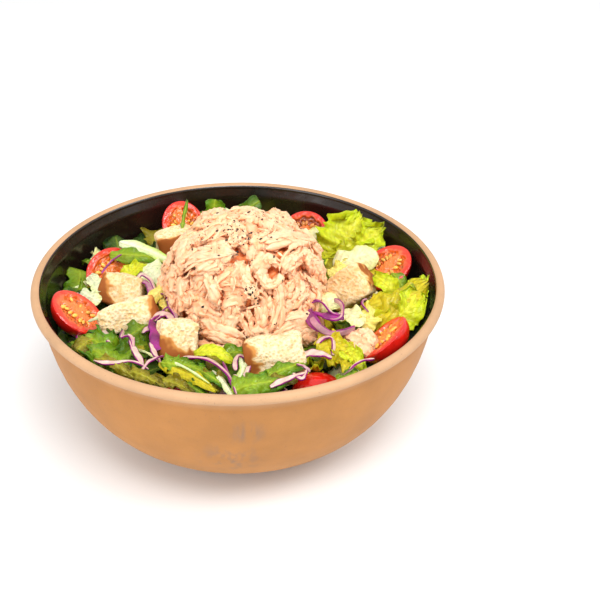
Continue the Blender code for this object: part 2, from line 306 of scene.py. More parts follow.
def wobble(places, spacing, seed, octaves=3):
    """Smooth noise between about -1 and 1: sums of sine waves in random directions, finer each octave."""
    rng = np.random.default_rng(seed)
    total = np.zeros(places.shape[:-1])
    for octave in range(octaves):
        for _ in range(5):
            direction = rng.normal(size=3)
            wave = places @ (direction / np.linalg.norm(direction)) * (math.tau * 1.9**octave / spacing)
            total += np.sin(wave + rng.uniform(0, math.tau)) * 0.45 * 0.6**octave
    return total


bed_corners = corners_of("salad_bed")
bed_corners = bed_corners[bed_corners[:, 2] > 58 * MM]


def bed_top(x, y, reach=8 * MM):
    """Height of the leaves over a place: the nearby bed corners' heights, weighted by a bell curve."""
    flat = np.stack([x.ravel(), y.ravel()], axis=1)
    gap = ((flat[:, None] - bed_corners[None, :, :2]) ** 2).sum(axis=-1)
    weight = np.exp(-gap / (2 * reach**2)) + 1e-12
    return ((weight * bed_corners[:, 2]).sum(axis=1) / weight.sum(axis=1)).reshape(x.shape)


def bed_mound():
    """Rings from the axis to the wall over the top, then back to the axis underneath."""
    turn = all_round(120)
    out = np.concatenate([np.linspace(0, 94, 50), [94.5, 90, 60, 0]])[:, None] * MM
    x, y = out * np.cos(turn), out * np.sin(turn)
    height = bed_top(x, y, 12 * MM) - 6 * MM
    height += 1.6 * MM * wobble(np.stack([x, y, 0 * x], axis=-1), 14 * MM, 3)
    height[50:] = np.array([50, 40, 24, 18])[:, None] * MM
    return np.stack([x, y, height], axis=-1)[None]


def painted_shade_leaves():
    """Packed leaves as painted shade: clouds of three dark greens over a coarse bump."""
    material, tree, shader = principled("painted_shade_leaves", 0.5)
    # Painted shade: the greens are dark because they stand for the shade among the packed leaves
    greens = ((0.35, (0.006, 0.014, 0.003)), (0.55, (0.025, 0.060, 0.008)), (0.75, (0.09, 0.13, 0.02)))
    tree.links.new(ramp(tree, noise(tree, 120, 4), greens), shader.inputs["Base Color"])
    bumped(tree, shader, noise(tree, 300, 3), 0.0008)
    return material


served(skins("salad_under", bed_mound()), "salad_bed", "leaves", painted_shade_leaves())

# Leaves. Torn lettuce, mizuna and romaine, thin and wet, each bent along its rib, cupped across and ruffled
# towards its edge. The large ones lie where they show most, and small torn pieces fill the rest.

# Each leaf's colour at its rib and at its edge
LEAF_COLOURS = {
    "frilly": ((0.62, 0.60, 0.03), (0.46, 0.54, 0.005)),
    "golden": ((0.56, 0.44, 0.015), (0.44, 0.37, 0.004)),
    "pale": ((0.80, 0.76, 0.46), (0.76, 0.72, 0.30)),
    "white": ((0.76, 0.76, 0.54), (0.66, 0.70, 0.32)),
    "core": ((0.84, 0.70, 0.22), (0.74, 0.62, 0.10)),
    "bright": ((0.26, 0.36, 0.015), (0.06, 0.17, 0.003)),
    "green": ((0.16, 0.25, 0.012), (0.035, 0.10, 0.003)),
    "dark": ((0.07, 0.12, 0.015), (0.012, 0.040, 0.003)),
    "olive": ((0.32, 0.27, 0.015), (0.14, 0.11, 0.004)),
    "stem": ((0.80, 0.84, 0.62), (0.46, 0.60, 0.10)),
}

# Large leaves: base and tip in mm, the way the leaf faces, half its width in mm, how far it arches, how far
# it is cupped, its ruffle in mm, how jagged its edge is, and its colour
LARGE_LEAVES = (
    ((52, 38, 68), (66, 50, 87), (-0.2, -1, 0.55), 15, 0.10, 0.3, 3.2, 0.34, "frilly"),
    ((58, 40, 72), (77, 47, 83), (0.1, -1, 0.6), 9, 0.15, 0.5, 2.6, 0.40, "frilly"),
    ((46, 40, 70), (50, 50, 80), (-0.3, -1, 0.7), 8, 0.10, 0.8, 1.6, 0.22, "frilly"),
    ((47, 46, 70), (44, 53, 82), (-0.2, -1, 0.5), 7.5, 0.10, 0.4, 0.6, 0.06, "pale"),
    ((57, 56, 70), (53, 63, 77), (-0.2, -1, 0.5), 6, 0.05, 0.3, 0.6, 0.05, "white"),
    ((50, 22, 75), (74, 28, 80), (0.0, -0.8, 1), 7.5, 0.15, -0.5, 0.8, 0.05, "pale"),
    ((47, 15, 74), (58, 22, 77), (0.0, -0.8, 1), 4.5, 0.10, 0.8, 1.5, 0.15, "core"),
    ((84, -14, 75), (70, -6, 86), (-0.3, -0.8, 0.8), 5, 0.25, 0.6, 1.4, 0.25, "frilly"),
    ((60, -21, 76), (83, -15, 80), (0.0, -0.8, 1), 6.5, 0.30, -1.0, 1.0, 0.12, "golden"),
    ((68, -34, 71), (92, -16, 86), (-0.2, -1, 0.8), 10, 0.15, -0.7, 2.6, 0.30, "golden"),
    ((70, -30, 72), (88, -22, 84), (0.1, -1, 0.7), 9, 0.20, 0.8, 2.4, 0.35, "frilly"),
    ((66, -28, 72), (80, -36, 76), (0.0, -0.7, 1), 8, 0.10, -0.6, 2.0, 0.25, "golden"),
    ((86, -22, 74), (94, -8, 84), (-0.6, -0.8, 0.5), 6, 0.10, 0.5, 2.4, 0.40, "frilly"),
    ((-52, 28, 74), (-40, 8, 77), (-0.3, -0.6, 1), 8.5, 0.12, -0.6, 1.2, 0.12, "white"),
    ((-61, 14, 74), (-50, 29, 77), (0.2, -0.6, 1), 4.5, 0.10, 0.4, 1.0, 0.12, "frilly"),
    ((-79, 18, 74), (-73, 0, 75), (-0.1, -0.7, 1), 3.5, 0.06, 0.2, 0.6, 0.05, "white"),
    ((-82, 4, 73), (-71, -8, 74), (0.0, -0.7, 1), 4, 0.05, 0.3, 0.6, 0.05, "white"),
    ((-37, 1, 80), (-46, -19, 80), (0.3, -0.6, 1), 3.6, 0.06, -0.6, 0.3, 0.03, "core"),
    ((-40, -8, 77), (-36, -22, 76), (0.5, -0.6, 1), 3.4, 0.10, 0.5, 0.8, 0.12, "core"),
    ((32, -14, 77), (50, -22, 79), (0.0, -0.8, 1), 5.5, 0.18, -0.6, 0.8, 0.08, "pale"),
    ((50, -23, 76), (60, -37, 77), (0.2, -0.7, 1), 5.5, 0.10, 0.4, 0.8, 0.06, "pale"),
    ((60, -35, 74), (70, -24, 78), (-0.2, -0.8, 1), 5.5, 0.15, 0.4, 1.8, 0.20, "core"),
    ((-48, 15, 73), (-34, 2, 76), (0.0, -0.6, 1), 7, 0.10, 0.2, 1.4, 0.50, "bright"),
    ((-40, 8, 72), (-33, -12, 75), (0.2, -0.6, 1), 5, 0.10, 0.2, 1.6, 0.45, "green"),
    ((-52, -68, 75), (-73, -55, 79), (0.0, -0.6, 1), 8, 0.15, -0.5, 2.8, 0.40, "bright"),
    ((-54, -60, 75), (-72, -46, 79), (0.0, -0.6, 1), 7, 0.15, 0.5, 2.8, 0.40, "bright"),
    ((-50, -56, 75), (-66, -45, 78), (-0.1, -0.6, 1), 6, 0.20, 0.5, 2.4, 0.35, "green"),
    ((-44, -30, 75), (-56, -48, 77), (0.0, -0.7, 1), 7, 0.15, -0.6, 2.0, 0.20, "green"),
    ((-44, -46, 74), (-54, -62, 76), (0.3, -0.7, 1), 8, 0.15, 0.4, 1.8, 0.20, "green"),
    ((-66, -42, 76), (-76, -58, 80), (-0.3, -0.7, 1), 6, 0.12, -0.6, 1.8, 0.20, "olive"),
    ((-68, -64, 79), (-50, -79, 80), (0.2, -0.7, 1), 3.5, 0.15, -0.8, 2.2, 0.35, "olive"),
    ((-56, -73, 79), (-38, -86, 80), (0.2, -0.7, 1), 4, 0.12, -0.8, 2.4, 0.35, "olive"),
    ((-40, -80, 78), (-24, -91, 80), (0.2, -0.7, 1), 3.5, 0.12, 0.5, 2.2, 0.35, "olive"),
    ((-38, -68, 79), (-12, -91, 80), (0.3, -0.5, 1), 3.5, 0.06, -0.5, 1.0, 0.10, "golden"),
    ((-33, -74, 77), (-16, -92, 78), (0.3, -0.5, 1), 3, 0.06, 0.5, 1.2, 0.20, "green"),
    ((-30, -67, 79), (-8, -86, 79), (0.3, -0.5, 1), 3, 0.06, -0.6, 1.0, 0.15, "bright"),
    ((-37, -70, 80), (-20, -74, 80), (0.0, -0.7, 1), 5, 0.15, -0.6, 2.0, 0.40, "bright"),
    ((-36, -66, 80), (-14, -88, 81), (0.3, -0.5, 1), 0.9, 0.10, -0.9, 0.2, 0.02, "stem"),
    ((-24, -76, 77), (-8, -84, 77), (0.0, -0.5, 1), 6, 0.10, 0.4, 1.6, 0.15, "olive"),
    ((-22, -59, 77), (-4, -66, 77), (0.1, -0.6, 1), 3.2, 0.20, 0.5, 0.6, 0.06, "frilly"),
    ((-10, -60, 75), (4, -58, 75), (0.1, -0.6, 1), 4, 0.10, 0.4, 0.8, 0.06, "bright"),
    ((-5, -94, 80), (16, -87, 81), (0.0, -0.6, 1), 8, 0.12, -0.7, 2.4, 0.35, "bright"),
    ((8, -80, 76), (30, -68, 78), (-0.2, -0.7, 1), 4, 0.12, -0.4, 1.2, 0.10, "bright"),
    ((8, -86, 76), (26, -78, 76), (-0.2, -0.7, 1), 3.5, 0.12, -0.4, 1.2, 0.10, "olive"),
    ((40, -45, 76), (43, -67, 76), (0.2, -0.5, 1), 6, 0.15, -0.5, 1.8, 0.15, "golden"),
    ((37, -47, 76), (52, -63, 76), (0.0, -0.6, 1), 6, 0.15, 0.4, 1.8, 0.18, "golden"),
    ((44, -60, 74), (52, -78, 77), (0.0, -0.6, 1), 4, 0.15, 0.4, 1.8, 0.18, "golden"),
    ((49, -55, 76), (56, -73, 78), (-0.2, -0.7, 1), 4.5, 0.20, 0.8, 2.0, 0.30, "frilly"),
    ((44, -86, 79), (53, -80, 80), (0.0, -0.6, 1), 3.5, 0.10, 0.3, 1.2, 0.30, "bright"),
    ((-18, 74, 72), (-13, 77, 87), (0.3, -1, 0.3), 6.5, 0.04, 0.3, 0.6, 0.10, "bright"),
    ((-6, 74, 73), (12, 81, 84), (-0.1, -1, 0.5), 5, 0.06, 0.3, 0.5, 0.05, "green"),
    ((-10, 78, 82), (2, 68, 78), (0.0, -0.7, 1), 2.0, 0.05, -0.4, 0.1, 0.02, "stem"),
    ((-64, 34, 85), (-36, 24, 79), (0.2, -0.9, 0.7), 3.0, 0.02, -0.5, 0.2, 0.03, "stem"),
    ((-69, 30, 80), (-38, 28, 78), (0.1, -0.8, 0.8), 4.0, 0.08, -0.3, 0.8, 0.10, "bright"),
    ((0, -62, 78), (-2, -88, 79), (0.3, -0.5, 1), 1.5, 0.10, -0.8, 0.2, 0.02, "stem"),
    ((3, -66, 77), (-2, -80, 78), (0.3, -0.5, 1), 1.3, 0.20, -0.8, 0.2, 0.02, "stem"),
    ((-13, -75, 79), (-4, -97, 81), (0.3, -0.5, 1), 1.9, 0.02, -0.9, 0.1, 0.01, "white"),
    ((-49, -54, 77), (-37, -67, 78), (0.3, -0.5, 1), 0.8, 0.12, -0.9, 0.2, 0.01, "pale"),
    ((-74, -33, 79), (-66, -31, 81), (0.3, -0.5, 1), 0.9, 0.05, -0.9, 0.1, 0.01, "white"),
    ((-31, 54, 80), (-29, 66, 90), (0.3, -1, 0.3), 1.2, 0.05, 0.2, 0.4, 0.40, "bright"),
    ((74, 47, 74), (80, 33, 74), (0.2, -0.9, 0.6), 4.0, 0.06, 0.3, 0.3, 0.05, "white"),
)


def unit(vectors):
    """The same directions, each one long."""
    return vectors / np.maximum(np.linalg.norm(vectors, axis=-1, keepdims=True), 1e-12)


def blended(first, second, share):
    """The first colour where share is 0, the second where it is 1, and a mix of them between."""
    return first + (second - first) * share[..., None]


def swept(line, side, up, across, rise):
    """Places round K lines: across runs out along side, and rise along up."""
    return line[:, :, None] + side[:, :, None] * across[..., None] + up[:, :, None] * rise[..., None]


def leaf_stack(base, tip, facing, half_width, arch, cup, ruffle, jag, rib, edge, seed, rings=30, across=17):
    """K leaves as thin closed skins. u runs from base to tip on an arched line, and v across from -1 to 1.
    The outline is a superellipse, uneven on each side, and jagged by spikes near the edge and the tip.
    Across, the leaf is an arc of a circle, and waves that grow with |v| ruffle it. Each ring goes over the
    upper face and back under the lower."""
    rng = np.random.default_rng(seed)
    count = len(base)
    shape = (count, 1, 1)
    sizes = (half_width, arch, cup, ruffle, jag)
    half_width, arch, cup, ruffle, jag = (np.asarray(size, float).reshape(shape) for size in sizes)
    u = np.linspace(0, 1, rings)
    run = tip - base
    length = np.linalg.norm(run, axis=1).reshape(shape)
    facing = unit(facing)
    bow = np.sin(math.pi * u)[None, :, None]
    swing = np.cross(unit(run), facing)[:, None] * (rng.normal(0, 0.05, shape) * length * bow)
    rise = facing[:, None] * (arch * length * bow)
    line = base[:, None] + run[:, None] * u[None, :, None] + rise + swing
    along = unit(np.gradient(line, axis=1))
    side = unit(np.cross(along, facing[:, None]))
    up = np.cross(side, along)
    half = np.linspace(-1, 1, across)
    v = np.concatenate([half, half[::-1]])[None, None]
    face = np.concatenate([np.ones(across), -np.ones(across)])[None, None]
    u = u[None, :, None]
    phase = rng.uniform(0, math.tau, (6, *shape))
    power = rng.uniform(1.8, 3.6, shape)
    outline = np.clip(1 - abs(2 * u - 1) ** power, 0, 1) ** (1 / power)
    flank = np.sign(v)
    uneven = 1 + 0.16 * np.sin(7 * u + phase[0] + flank) + 0.10 * np.sin(15 * u + phase[1] * flank)
    outline = outline * uneven
    spike = abs(np.sin(11 * u + phase[2] + 1.3 * flank)) ** 0.6 + 0.5 * abs(np.sin(23 * u + phase[3])) ** 0.6
    wide = half_width * outline * (1 + jag * (0.9 - spike) * abs(v) ** 2)
    bend = cup * v + 1e-6
    cup = cup + np.where(cup == 0, 1e-6, 0)
    sideways = wide * np.sin(bend) / cup
    lift = half_width * outline * (1 - np.cos(bend)) / cup
    wave = np.sin(13 * u + phase[4] + 1.7 * flank) + 0.6 * np.sin(29 * u + phase[5] + v)
    lift = lift + ruffle * MM * abs(v) ** 1.7 * wave * np.minimum(1, 3 * outline)
    blister = np.sin(24 * u + 5 * v + phase[0]) * np.sin(9 * v - 14 * u + phase[1])
    lift = lift + 0.22 * ruffle * MM * blister * outline
    lift = lift + 0.22 * MM * face * (1.2 - 0.8 * abs(v) + 1.2 * np.exp(-((v / 0.12) ** 2)) * (1 - u))
    tear = abs(np.sin(7 * v + phase[2])) ** 0.6 + 0.5 * np.sin(17 * v + phase[3])
    tear = tear * jag * 0.55 * length * u**5
    points = swept(line, side, up, sideways, lift) + along[:, :, None] * tear[..., None]
    mottle = 0.5 * blister + 0.5 * np.sin(40 * u + 9 * v + phase[4])
    share = np.clip(1.15 * abs(v) ** 0.7 * (0.35 + 0.8 * u) + 0.12 * mottle, 0, 1)
    colour = blended(rib[:, None, None], edge[:, None, None], share)
    colour = colour * (1 + 0.14 * mottle[..., None]) * np.where(face > 0, 1, 1.06)[..., None]
    uv = np.stack(np.broadcast_arrays(v * half_width / (10 * MM), u * length / (10 * MM)), axis=-1)
    return points, colour, uv


def tinted(tree):
    """The colour that the mesh carries."""
    return node(tree, "ShaderNodeVertexColor", layer_name="tint").outputs["Color"]


def leafy():
    """Wet leaf: the mesh's colour with paler forked veins, drawn by waves that slant away from the rib on
    each side, and a soft uneven gloss."""
    sockets = {"Subsurface_Weight": 0.08, "Subsurface_Scale": 0.0015, "Specular_IOR_Level": 0.25}
    material, tree, shader = principled("wet_leaf", 0.34, **sockets)
    tint = tinted(tree)
    own = node(tree, "ShaderNodeUVMap", uv_map="UVMap").outputs["UV"]
    across, up = node(tree, "ShaderNodeSeparateXYZ", {"Vector": own}).outputs[:2]
    away = calc(tree, "ABSOLUTE", across)
    slant = calc(tree, "MULTIPLY_ADD", away, -0.9, up)
    wander = calc(tree, "MULTIPLY_ADD", noise(tree, 220, 2), 0.5, slant)
    crest = calc(tree, "ABSOLUTE", calc(tree, "SINE", calc(tree, "MULTIPLY", wander, 13.0)))
    vein = scaled(tree, crest, 0.0, 0.22, 1.0, 0.0)
    rib = scaled(tree, away, 0.0, 0.09, 1.0, 0.0)
    both = calc(tree, "MAXIMUM", vein, rib)
    pale = mixed(tree, 0.40, tint, (0.55, 0.60, 0.04))
    veined = mixed(tree, calc(tree, "MULTIPLY", both, 0.45), tint, pale)
    cloud = scaled(tree, noise(tree, 420, 3), 0.3, 0.7, 0.84, 1.14)
    tree.links.new(dyed(tree, veined, cloud), shader.inputs["Base Color"])
    tree.links.new(scaled(tree, noise(tree, 200, 2), 0.3, 0.7, 0.22, 0.46), shader.inputs["Roughness"])
    bumped(tree, shader, both, 0.0003, 0.8)
    return material


wet_leaf = leafy()


def drawn_in(points, limit):
    """Moves the places that are further from the axis than limit back to it."""
    reach = np.maximum(np.hypot(points[..., 0], points[..., 1]), 1e-6)
    points[..., :2] *= np.minimum(1, limit / reach)[..., None]


def salad_piece(name, material, points, colour, uv):
    """One mesh of salad. What would reach the bowl's inside wall is drawn in to 1 mm from it."""
    depth = np.clip((INSIDE_TOP - points[..., 2]) / (INSIDE_TOP - INSIDE_FLOOR), 0, 1)
    wall = INSIDE_FLAT + (INSIDE_RADIUS - INSIDE_FLAT) * np.sqrt(1 - depth**2)
    drawn_in(points, wall - 1 * MM)
    served(skins(name, points, colour, uv), "salad_bed", "leaves", material)


def from_table(rows):
    """The table's columns, in metres, with each leaf's two colours."""
    base, tip, facing = (np.array([row[i] for row in rows], float) for i in range(3))
    sizes = [np.array([row[i] for row in rows], float) for i in range(3, 8)]
    rib, edge = (np.array([LEAF_COLOURS[row[8]][i] for row in rows]) for i in range(2))
    return base * MM, tip * MM, facing, sizes[0] * MM, *sizes[1:], rib, edge


salad_piece("large_leaves", wet_leaf, *leaf_stack(*from_table(LARGE_LEAVES), 31, 40, 21))

TOPPINGS = [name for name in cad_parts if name.startswith(("tomato", "crouton", "chicken_piece"))]
topping_boxes = np.array([[list(corner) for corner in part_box(name)] for name in TOPPINGS])
topping_centre = topping_boxes.mean(axis=1)


def scattered(rng, count, reach, least):
    """Random middles over the bed, at z 0, how far out each is, and how far from the nearest topping."""
    out = reach * np.sqrt(rng.uniform(least, 1, count))
    turn = rng.uniform(0, math.tau, count)
    middle = np.stack([out * np.cos(turn), out * np.sin(turn), np.zeros(count)], axis=1)
    near = np.linalg.norm(middle[:, None, :2] - topping_centre[None, :, :2], axis=-1).min(axis=1)
    return middle, out, near


def torn_pieces(count, seed):
    """Small torn leaves all over the bed, lying at random headings and leaning a little. They sink where a
    topping or the heap stands."""
    rng = np.random.default_rng(seed)
    middle, out, near = scattered(rng, count, 93 * MM, 0.12)
    sunk = 5 * MM * (near < 15 * MM) + 4 * MM * (out < 47 * MM)
    middle[:, 2] = bed_top(middle[:, 0], middle[:, 1]) + rng.uniform(-3.5, 2.0, count) * MM - sunk
    heading = rng.uniform(0, math.tau, count)
    lean = rng.normal(0, 0.28, count)
    way = np.stack([np.cos(heading) * np.cos(lean), np.sin(heading) * np.cos(lean), np.sin(lean)], axis=1)
    length = rng.uniform(12, 30, count)[:, None] * MM
    facing = np.stack([rng.normal(0, 0.35, count), rng.normal(-0.15, 0.35, count), np.ones(count)], axis=1)
    base, tip = middle - way * length / 2, middle + way * length / 2
    drawn_in(base, 92 * MM)
    drawn_in(tip, 92 * MM)
    kinds = ["bright", "green", "dark", "olive", "golden", "frilly", "pale", "white"]
    left = np.cumsum([0.26, 0.24, 0.18, 0.14, 0.05, 0.07, 0.04, 0.02])
    right = np.cumsum([0.14, 0.12, 0.10, 0.12, 0.20, 0.18, 0.10, 0.04])
    draw = rng.uniform(size=count)
    pick = np.where(middle[:, 0] > 10 * MM, np.searchsorted(right, draw), np.searchsorted(left, draw))
    rib, edge = (np.array([LEAF_COLOURS[kinds[min(i, 7)]][side] for i in pick]) for side in range(2))
    half_width = rng.uniform(4, 9, count) * MM
    spans = ((-0.05, 0.2), (-0.9, 0.9), (0.4, 2.2), (0.03, 0.3))
    return base, tip, facing, half_width, *(rng.uniform(*span, count) for span in spans), rib, edge


salad_piece("torn_leaves", wet_leaf, *leaf_stack(*torn_pieces(300, 77), 78, 18, 9))

# Red cabbage and onion. Shredded on a slicer into long curling ribbons: pinkish white where it is cut, and
# purple along the skin.

PURPLE = np.array([0.23, 0.004, 0.15])
CUT_PINK = np.array([0.68, 0.46, 0.38])

# Ribbons: four control points in mm, width and thickness in mm, a turn about their own line, and how much of
# the skin is on the broad side
RIBBONS = (
    ((-71, 8, 80), (-68, 14, 82), (-66, 20, 82), (-62, 27, 80), 1.2, 0.8, 0.0, 0.9),
    ((-53, 4, 77), (-52, 12, 80), (-46, 8, 79), (-43, -4, 77), 3.2, 1.0, 0.4, 0.0),
    ((-50, 5, 77), (-46, 1, 78), (-44, -4, 78), (-46, -9, 76), 4.2, 1.1, 0.2, 0.6),
    ((-41, -9, 77), (-35, -10, 81), (-36, -19, 78), (-31, -29, 76), 3.6, 1.0, 0.6, 0.0),
    ((-39, -27, 77), (-36, -20, 80), (-33, -24, 79), (-31, -30, 76), 3.4, 1.0, 0.9, 0.2),
    ((-42, -33, 77), (-40, -28, 80), (-36, -28, 79), (-33, -30, 76), 5.0, 1.2, 0.2, 0.1),
    ((-44, -38, 77), (-44, -35, 79), (-41, -31, 80), (-38, -28, 77), 2.6, 1.2, 0.8, 0.3),
    ((-42, -35, 78), (-42, -44, 80), (-40, -50, 79), (-39, -58, 77), 6.4, 1.2, 0.3, 0.95),
    ((-47, -43, 77), (-45, -39, 78), (-40, -39, 78), (-36, -45, 77), 4.0, 1.0, 0.1, 0.2),
    ((-42, -52, 78), (-42, -59, 78), (-39, -64, 78), (-37, -68, 77), 3.4, 1.0, 0.5, 0.0),
    ((-65, -43, 79), (-63, -50, 80), (-59, -55, 79), (-55, -57, 77), 5.6, 1.0, 0.2, 0.0),
    ((-56, -43, 79), (-58, -62, 80), (-52, -40, 83), (-50, -60, 80), 2.6, 1.3, 0.7, 0.2),
    ((-51, -50, 80), (-52, -60, 80), (-48, -62, 80), (-45, -72, 78), 3.8, 1.1, 0.3, 0.0),
    ((-68, -69, 80), (-57, -79, 82), (-51, -66, 82), (-42, -77, 80), 2.8, 1.0, 0.4, 0.0),
    ((-45, -78, 80), (-42, -71, 82), (-39, -71, 82), (-36, -65, 79), 2.2, 1.0, 0.5, 0.2),
    ((-27, -68, 80), (-14, -67, 81), (-5, -78, 81), (-2, -97, 80), 2.8, 1.1, 0.6, 0.2),
    ((-8, -71, 79), (-6, -79, 80), (-5, -86, 80), (-2, -95, 79), 2.6, 1.1, 0.9, 0.9),
    ((-2, -75, 77), (-4, -66, 79), (0, -62, 79), (4, -67, 77), 2.8, 1.0, 0.4, 0.1),
    ((-3, -79, 78), (0, -92, 79), (2, -82, 80), (4, -73, 78), 3.0, 1.0, 0.3, 0.0),
    ((56, -42, 78), (46, -55, 80), (38, -50, 80), (35, -36, 80), 4.0, 1.4, 0.9, 0.55),
    ((40, -46, 78), (31, -33, 80), (29, -16, 82), (40, -26, 83), 6.0, 1.3, 0.5, 0.9),
    ((35, -27, 82), (43, -20, 84), (43, -42, 81), (50, -34, 81), 3.4, 1.2, 0.9, 0.1),
    ((43, -37, 80), (50, -46, 81), (54, -28, 83), (47, -22, 81), 3.0, 1.2, 0.9, 0.3),
    ((36, -31, 80), (40, -36, 81), (45, -38, 81), (51, -36, 80), 6.0, 1.6, 0.3, 0.95),
    ((36, -56, 77), (42, -47, 80), (47, -52, 79), (43, -64, 77), 2.8, 1.2, 0.6, 0.1),
    ((29, -65, 78), (34, -63, 79), (38, -65, 79), (43, -66, 77), 5.0, 1.3, 0.2, 0.0),
    ((26, -72, 78), (28, -74, 79), (30, -75, 79), (32, -77, 77), 1.8, 0.9, 0.2, 0.4),
    ((13, -92, 80), (19, -88, 81), (25, -85, 81), (30, -80, 79), 3.6, 1.1, 0.3, 0.0),
    ((24, -80, 79), (27, -90, 81), (29, -88, 81), (30, -78, 79), 3.0, 1.0, 0.5, 0.0),
    ((48, -88, 81), (51, -78, 84), (56, -77, 83), (62, -73, 81), 1.8, 1.2, 0.8, 0.1),
    ((64, -20, 80), (59, -24, 82), (61, -27, 80), (64, -29, 78), 1.4, 1.0, 0.8, 0.5),
)


def ribbon_stack(controls, width, thickness, turned_by, skin_side, seed, rings=34, around=16):
    """K ribbons along cubic curves through four control points. The cross-section is a flattened superellipse
    that turns slowly about the curve. It is purple along its two narrow sides, or over one broad side."""
    rng = np.random.default_rng(seed)
    count = len(controls)
    u = np.linspace(0, 1, rings)[None, :, None]
    a, b, c, d = (controls[:, i][:, None] for i in range(4))
    line = a * (1 - u) ** 3 + 3 * b * u * (1 - u) ** 2 + 3 * c * u**2 * (1 - u) + d * u**3
    along = unit(np.gradient(line, axis=1))
    level = unit(np.cross(along, np.array([0.05, -0.35, 1.0])))
    above = np.cross(level, along)
    angle = turned_by[:, None, None] + rng.uniform(-0.5, 0.5, (count, 1, 1)) * (u - 0.5) * 2
    side = level * np.cos(angle) + above * np.sin(angle)
    up = above * np.cos(angle) - level * np.sin(angle)
    turn = all_round(around)[None, None]
    cos, sin = np.cos(turn), np.sin(turn)
    phase = rng.uniform(0, math.tau, (count, 1, 1))
    uneven = 1 + 0.16 * np.sin(9 * u + phase) + 0.08 * np.sin(21 * u + 2 * phase)
    taper = np.clip(1 - abs(2 * u - 1) ** 7, 0, 1) ** 0.3 * uneven
    across = np.sign(cos) * abs(cos) ** 0.7 * width[:, None, None] / 2 * taper
    rise = np.sign(sin) * abs(sin) ** 0.7 * thickness[:, None, None] / 2 * np.minimum(taper, 1)
    rise = rise + 0.25 * MM * np.sin(14 * u + phase) * cos**2
    points = swept(line, side, up, across, rise)
    rim = smooth_step(abs(cos) + 0.06 * np.sin(31 * u + phase), 0.60, 0.80)
    broad = smooth_step(sin + 0.25 * np.sin(11 * u + phase), -0.15, 0.15) * skin_side[:, None, None]
    pale = CUT_PINK * (1 + 0.12 * np.sin(17 * u + 3 * cos + phase)[..., None])
    violet = PURPLE * (1 + 0.5 * np.sin(13 * u + 2 * sin + phase)[..., None] * 0.6)
    uv = np.stack(np.broadcast_arrays(cos, 4 * u + 0 * cos + 0 * phase), axis=-1)
    return points, blended(pale, violet, np.maximum(rim, broad)), uv


def smooth_step(value, low, high):
    """0 below low and 1 above high, with a smooth rise between them."""
    share = np.clip((value - low) / (high - low), 0, 1)
    return share * share * (3 - 2 * share)


def wet(name, roughness, grain, depth, **sockets):
    """A wet surface: its colour from the mesh, cloudy, with a soft uneven gloss and a faint fine bump."""
    material, tree, shader = principled(name, roughness, **sockets)
    cloud = scaled(tree, noise(tree, grain, 3), 0.3, 0.7, 0.86, 1.12)
    tree.links.new(dyed(tree, tinted(tree), cloud), shader.inputs["Base Color"])
    gloss = scaled(tree, noise(tree, grain / 3, 2), 0.3, 0.7, 0.7 * roughness, 1.4 * roughness)
    tree.links.new(gloss, shader.inputs["Roughness"])
    bumped(tree, shader, noise(tree, 2 * grain, 2), depth)
    return material


soft_light = {"Subsurface_Weight": 0.1, "Subsurface_Scale": 0.001, "Specular_IOR_Level": 0.3}
cabbage = wet("cut_cabbage", 0.30, 500, 0.0001, **soft_light)
controls = np.array([row[:4] for row in RIBBONS], float) * MM + np.array([0, 0, 1.5 * MM])
width, thickness, turned_by, skin_side = np.array([row[4:] for row in RIBBONS], float).T
sliced = ribbon_stack(controls, 0.85 * width * MM, thickness * MM, turned_by, skin_side, 5, 60, 20)
salad_piece("cabbage_ribbons", cabbage, *sliced)


def loose_ribbons(count, seed):
    """Short ribbons scattered over the bed: each curls about a random middle, and sinks by a topping."""
    rng = np.random.default_rng(seed)
    middle, _, near = scattered(rng, count, 90 * MM, 0.25)
    middle[:, 2] = bed_top(middle[:, 0], middle[:, 1]) + rng.uniform(0, 1.8, count) * MM
    middle[:, 2] -= 6 * MM * (near < 14 * MM)
    heading = rng.uniform(0, math.tau, count)
    way = np.stack([np.cos(heading), np.sin(heading), np.zeros(count)], axis=1)
    cross = np.stack([-way[:, 1], way[:, 0], np.zeros(count)], axis=1)
    length = rng.uniform(8, 20, count)[:, None] * MM
    curl = rng.uniform(-0.8, 0.8, (count, 1)) * length
    first = middle - way * length / 4 + cross * curl
    second = middle + way * length / 4 + cross * curl * rng.uniform(-1, 1, (count, 1))
    points = np.stack([middle - way * length / 2, first, second, middle + way * length / 2], axis=1)
    points[..., 2] += rng.uniform(-1.0, 1.5, (count, 4)) * MM
    drawn_in(points, 91 * MM)
    width, thickness = rng.uniform(1.6, 3.6, count) * MM, rng.uniform(0.8, 1.2, count) * MM
    return points, width, thickness, rng.uniform(0, 1.2, count), rng.uniform(0, 0.8, count) ** 2


salad_piece("loose_ribbons", cabbage, *ribbon_stack(*loose_ribbons(70, 9), 6, 24, 14))

# Tomato halves. Cherry tomatoes cut lengthways: a firm red wall, two pockets of gel and seeds, and a pale
# septum between them along the long axis.


def faces_of(name):
    """A CAD node's triangles: their unit normals and areas."""
    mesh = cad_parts[name].data
    count = len(mesh.polygons)
    normal, area = np.empty(3 * count), np.empty(count)
    mesh.polygons.foreach_get("normal", normal)
    mesh.polygons.foreach_get("area", area)
    return normal.reshape(-1, 3), area


def flat_side(normal, area, within, across=None):
    """The direction that the largest flat side faces: the normal with the most area inside a cone round it,
    then that cone's mean. With across given, only sides square to it count."""
    near = normal @ normal.T > math.cos(math.radians(within))
    score = near @ area
    if across is not None:
        score = np.where(abs(normal @ across) < 0.3, score, 0)
    best = near[np.argmax(score)]
    return unit((normal[best] * area[best][:, None]).sum(axis=0))


def along_axes(corners, axes):
    """The corners' middle and half sizes along three axes."""
    inside = corners @ axes.T
    low, high = inside.min(axis=0), inside.max(axis=0)
    return (low + high) / 2, (high - low) / 2


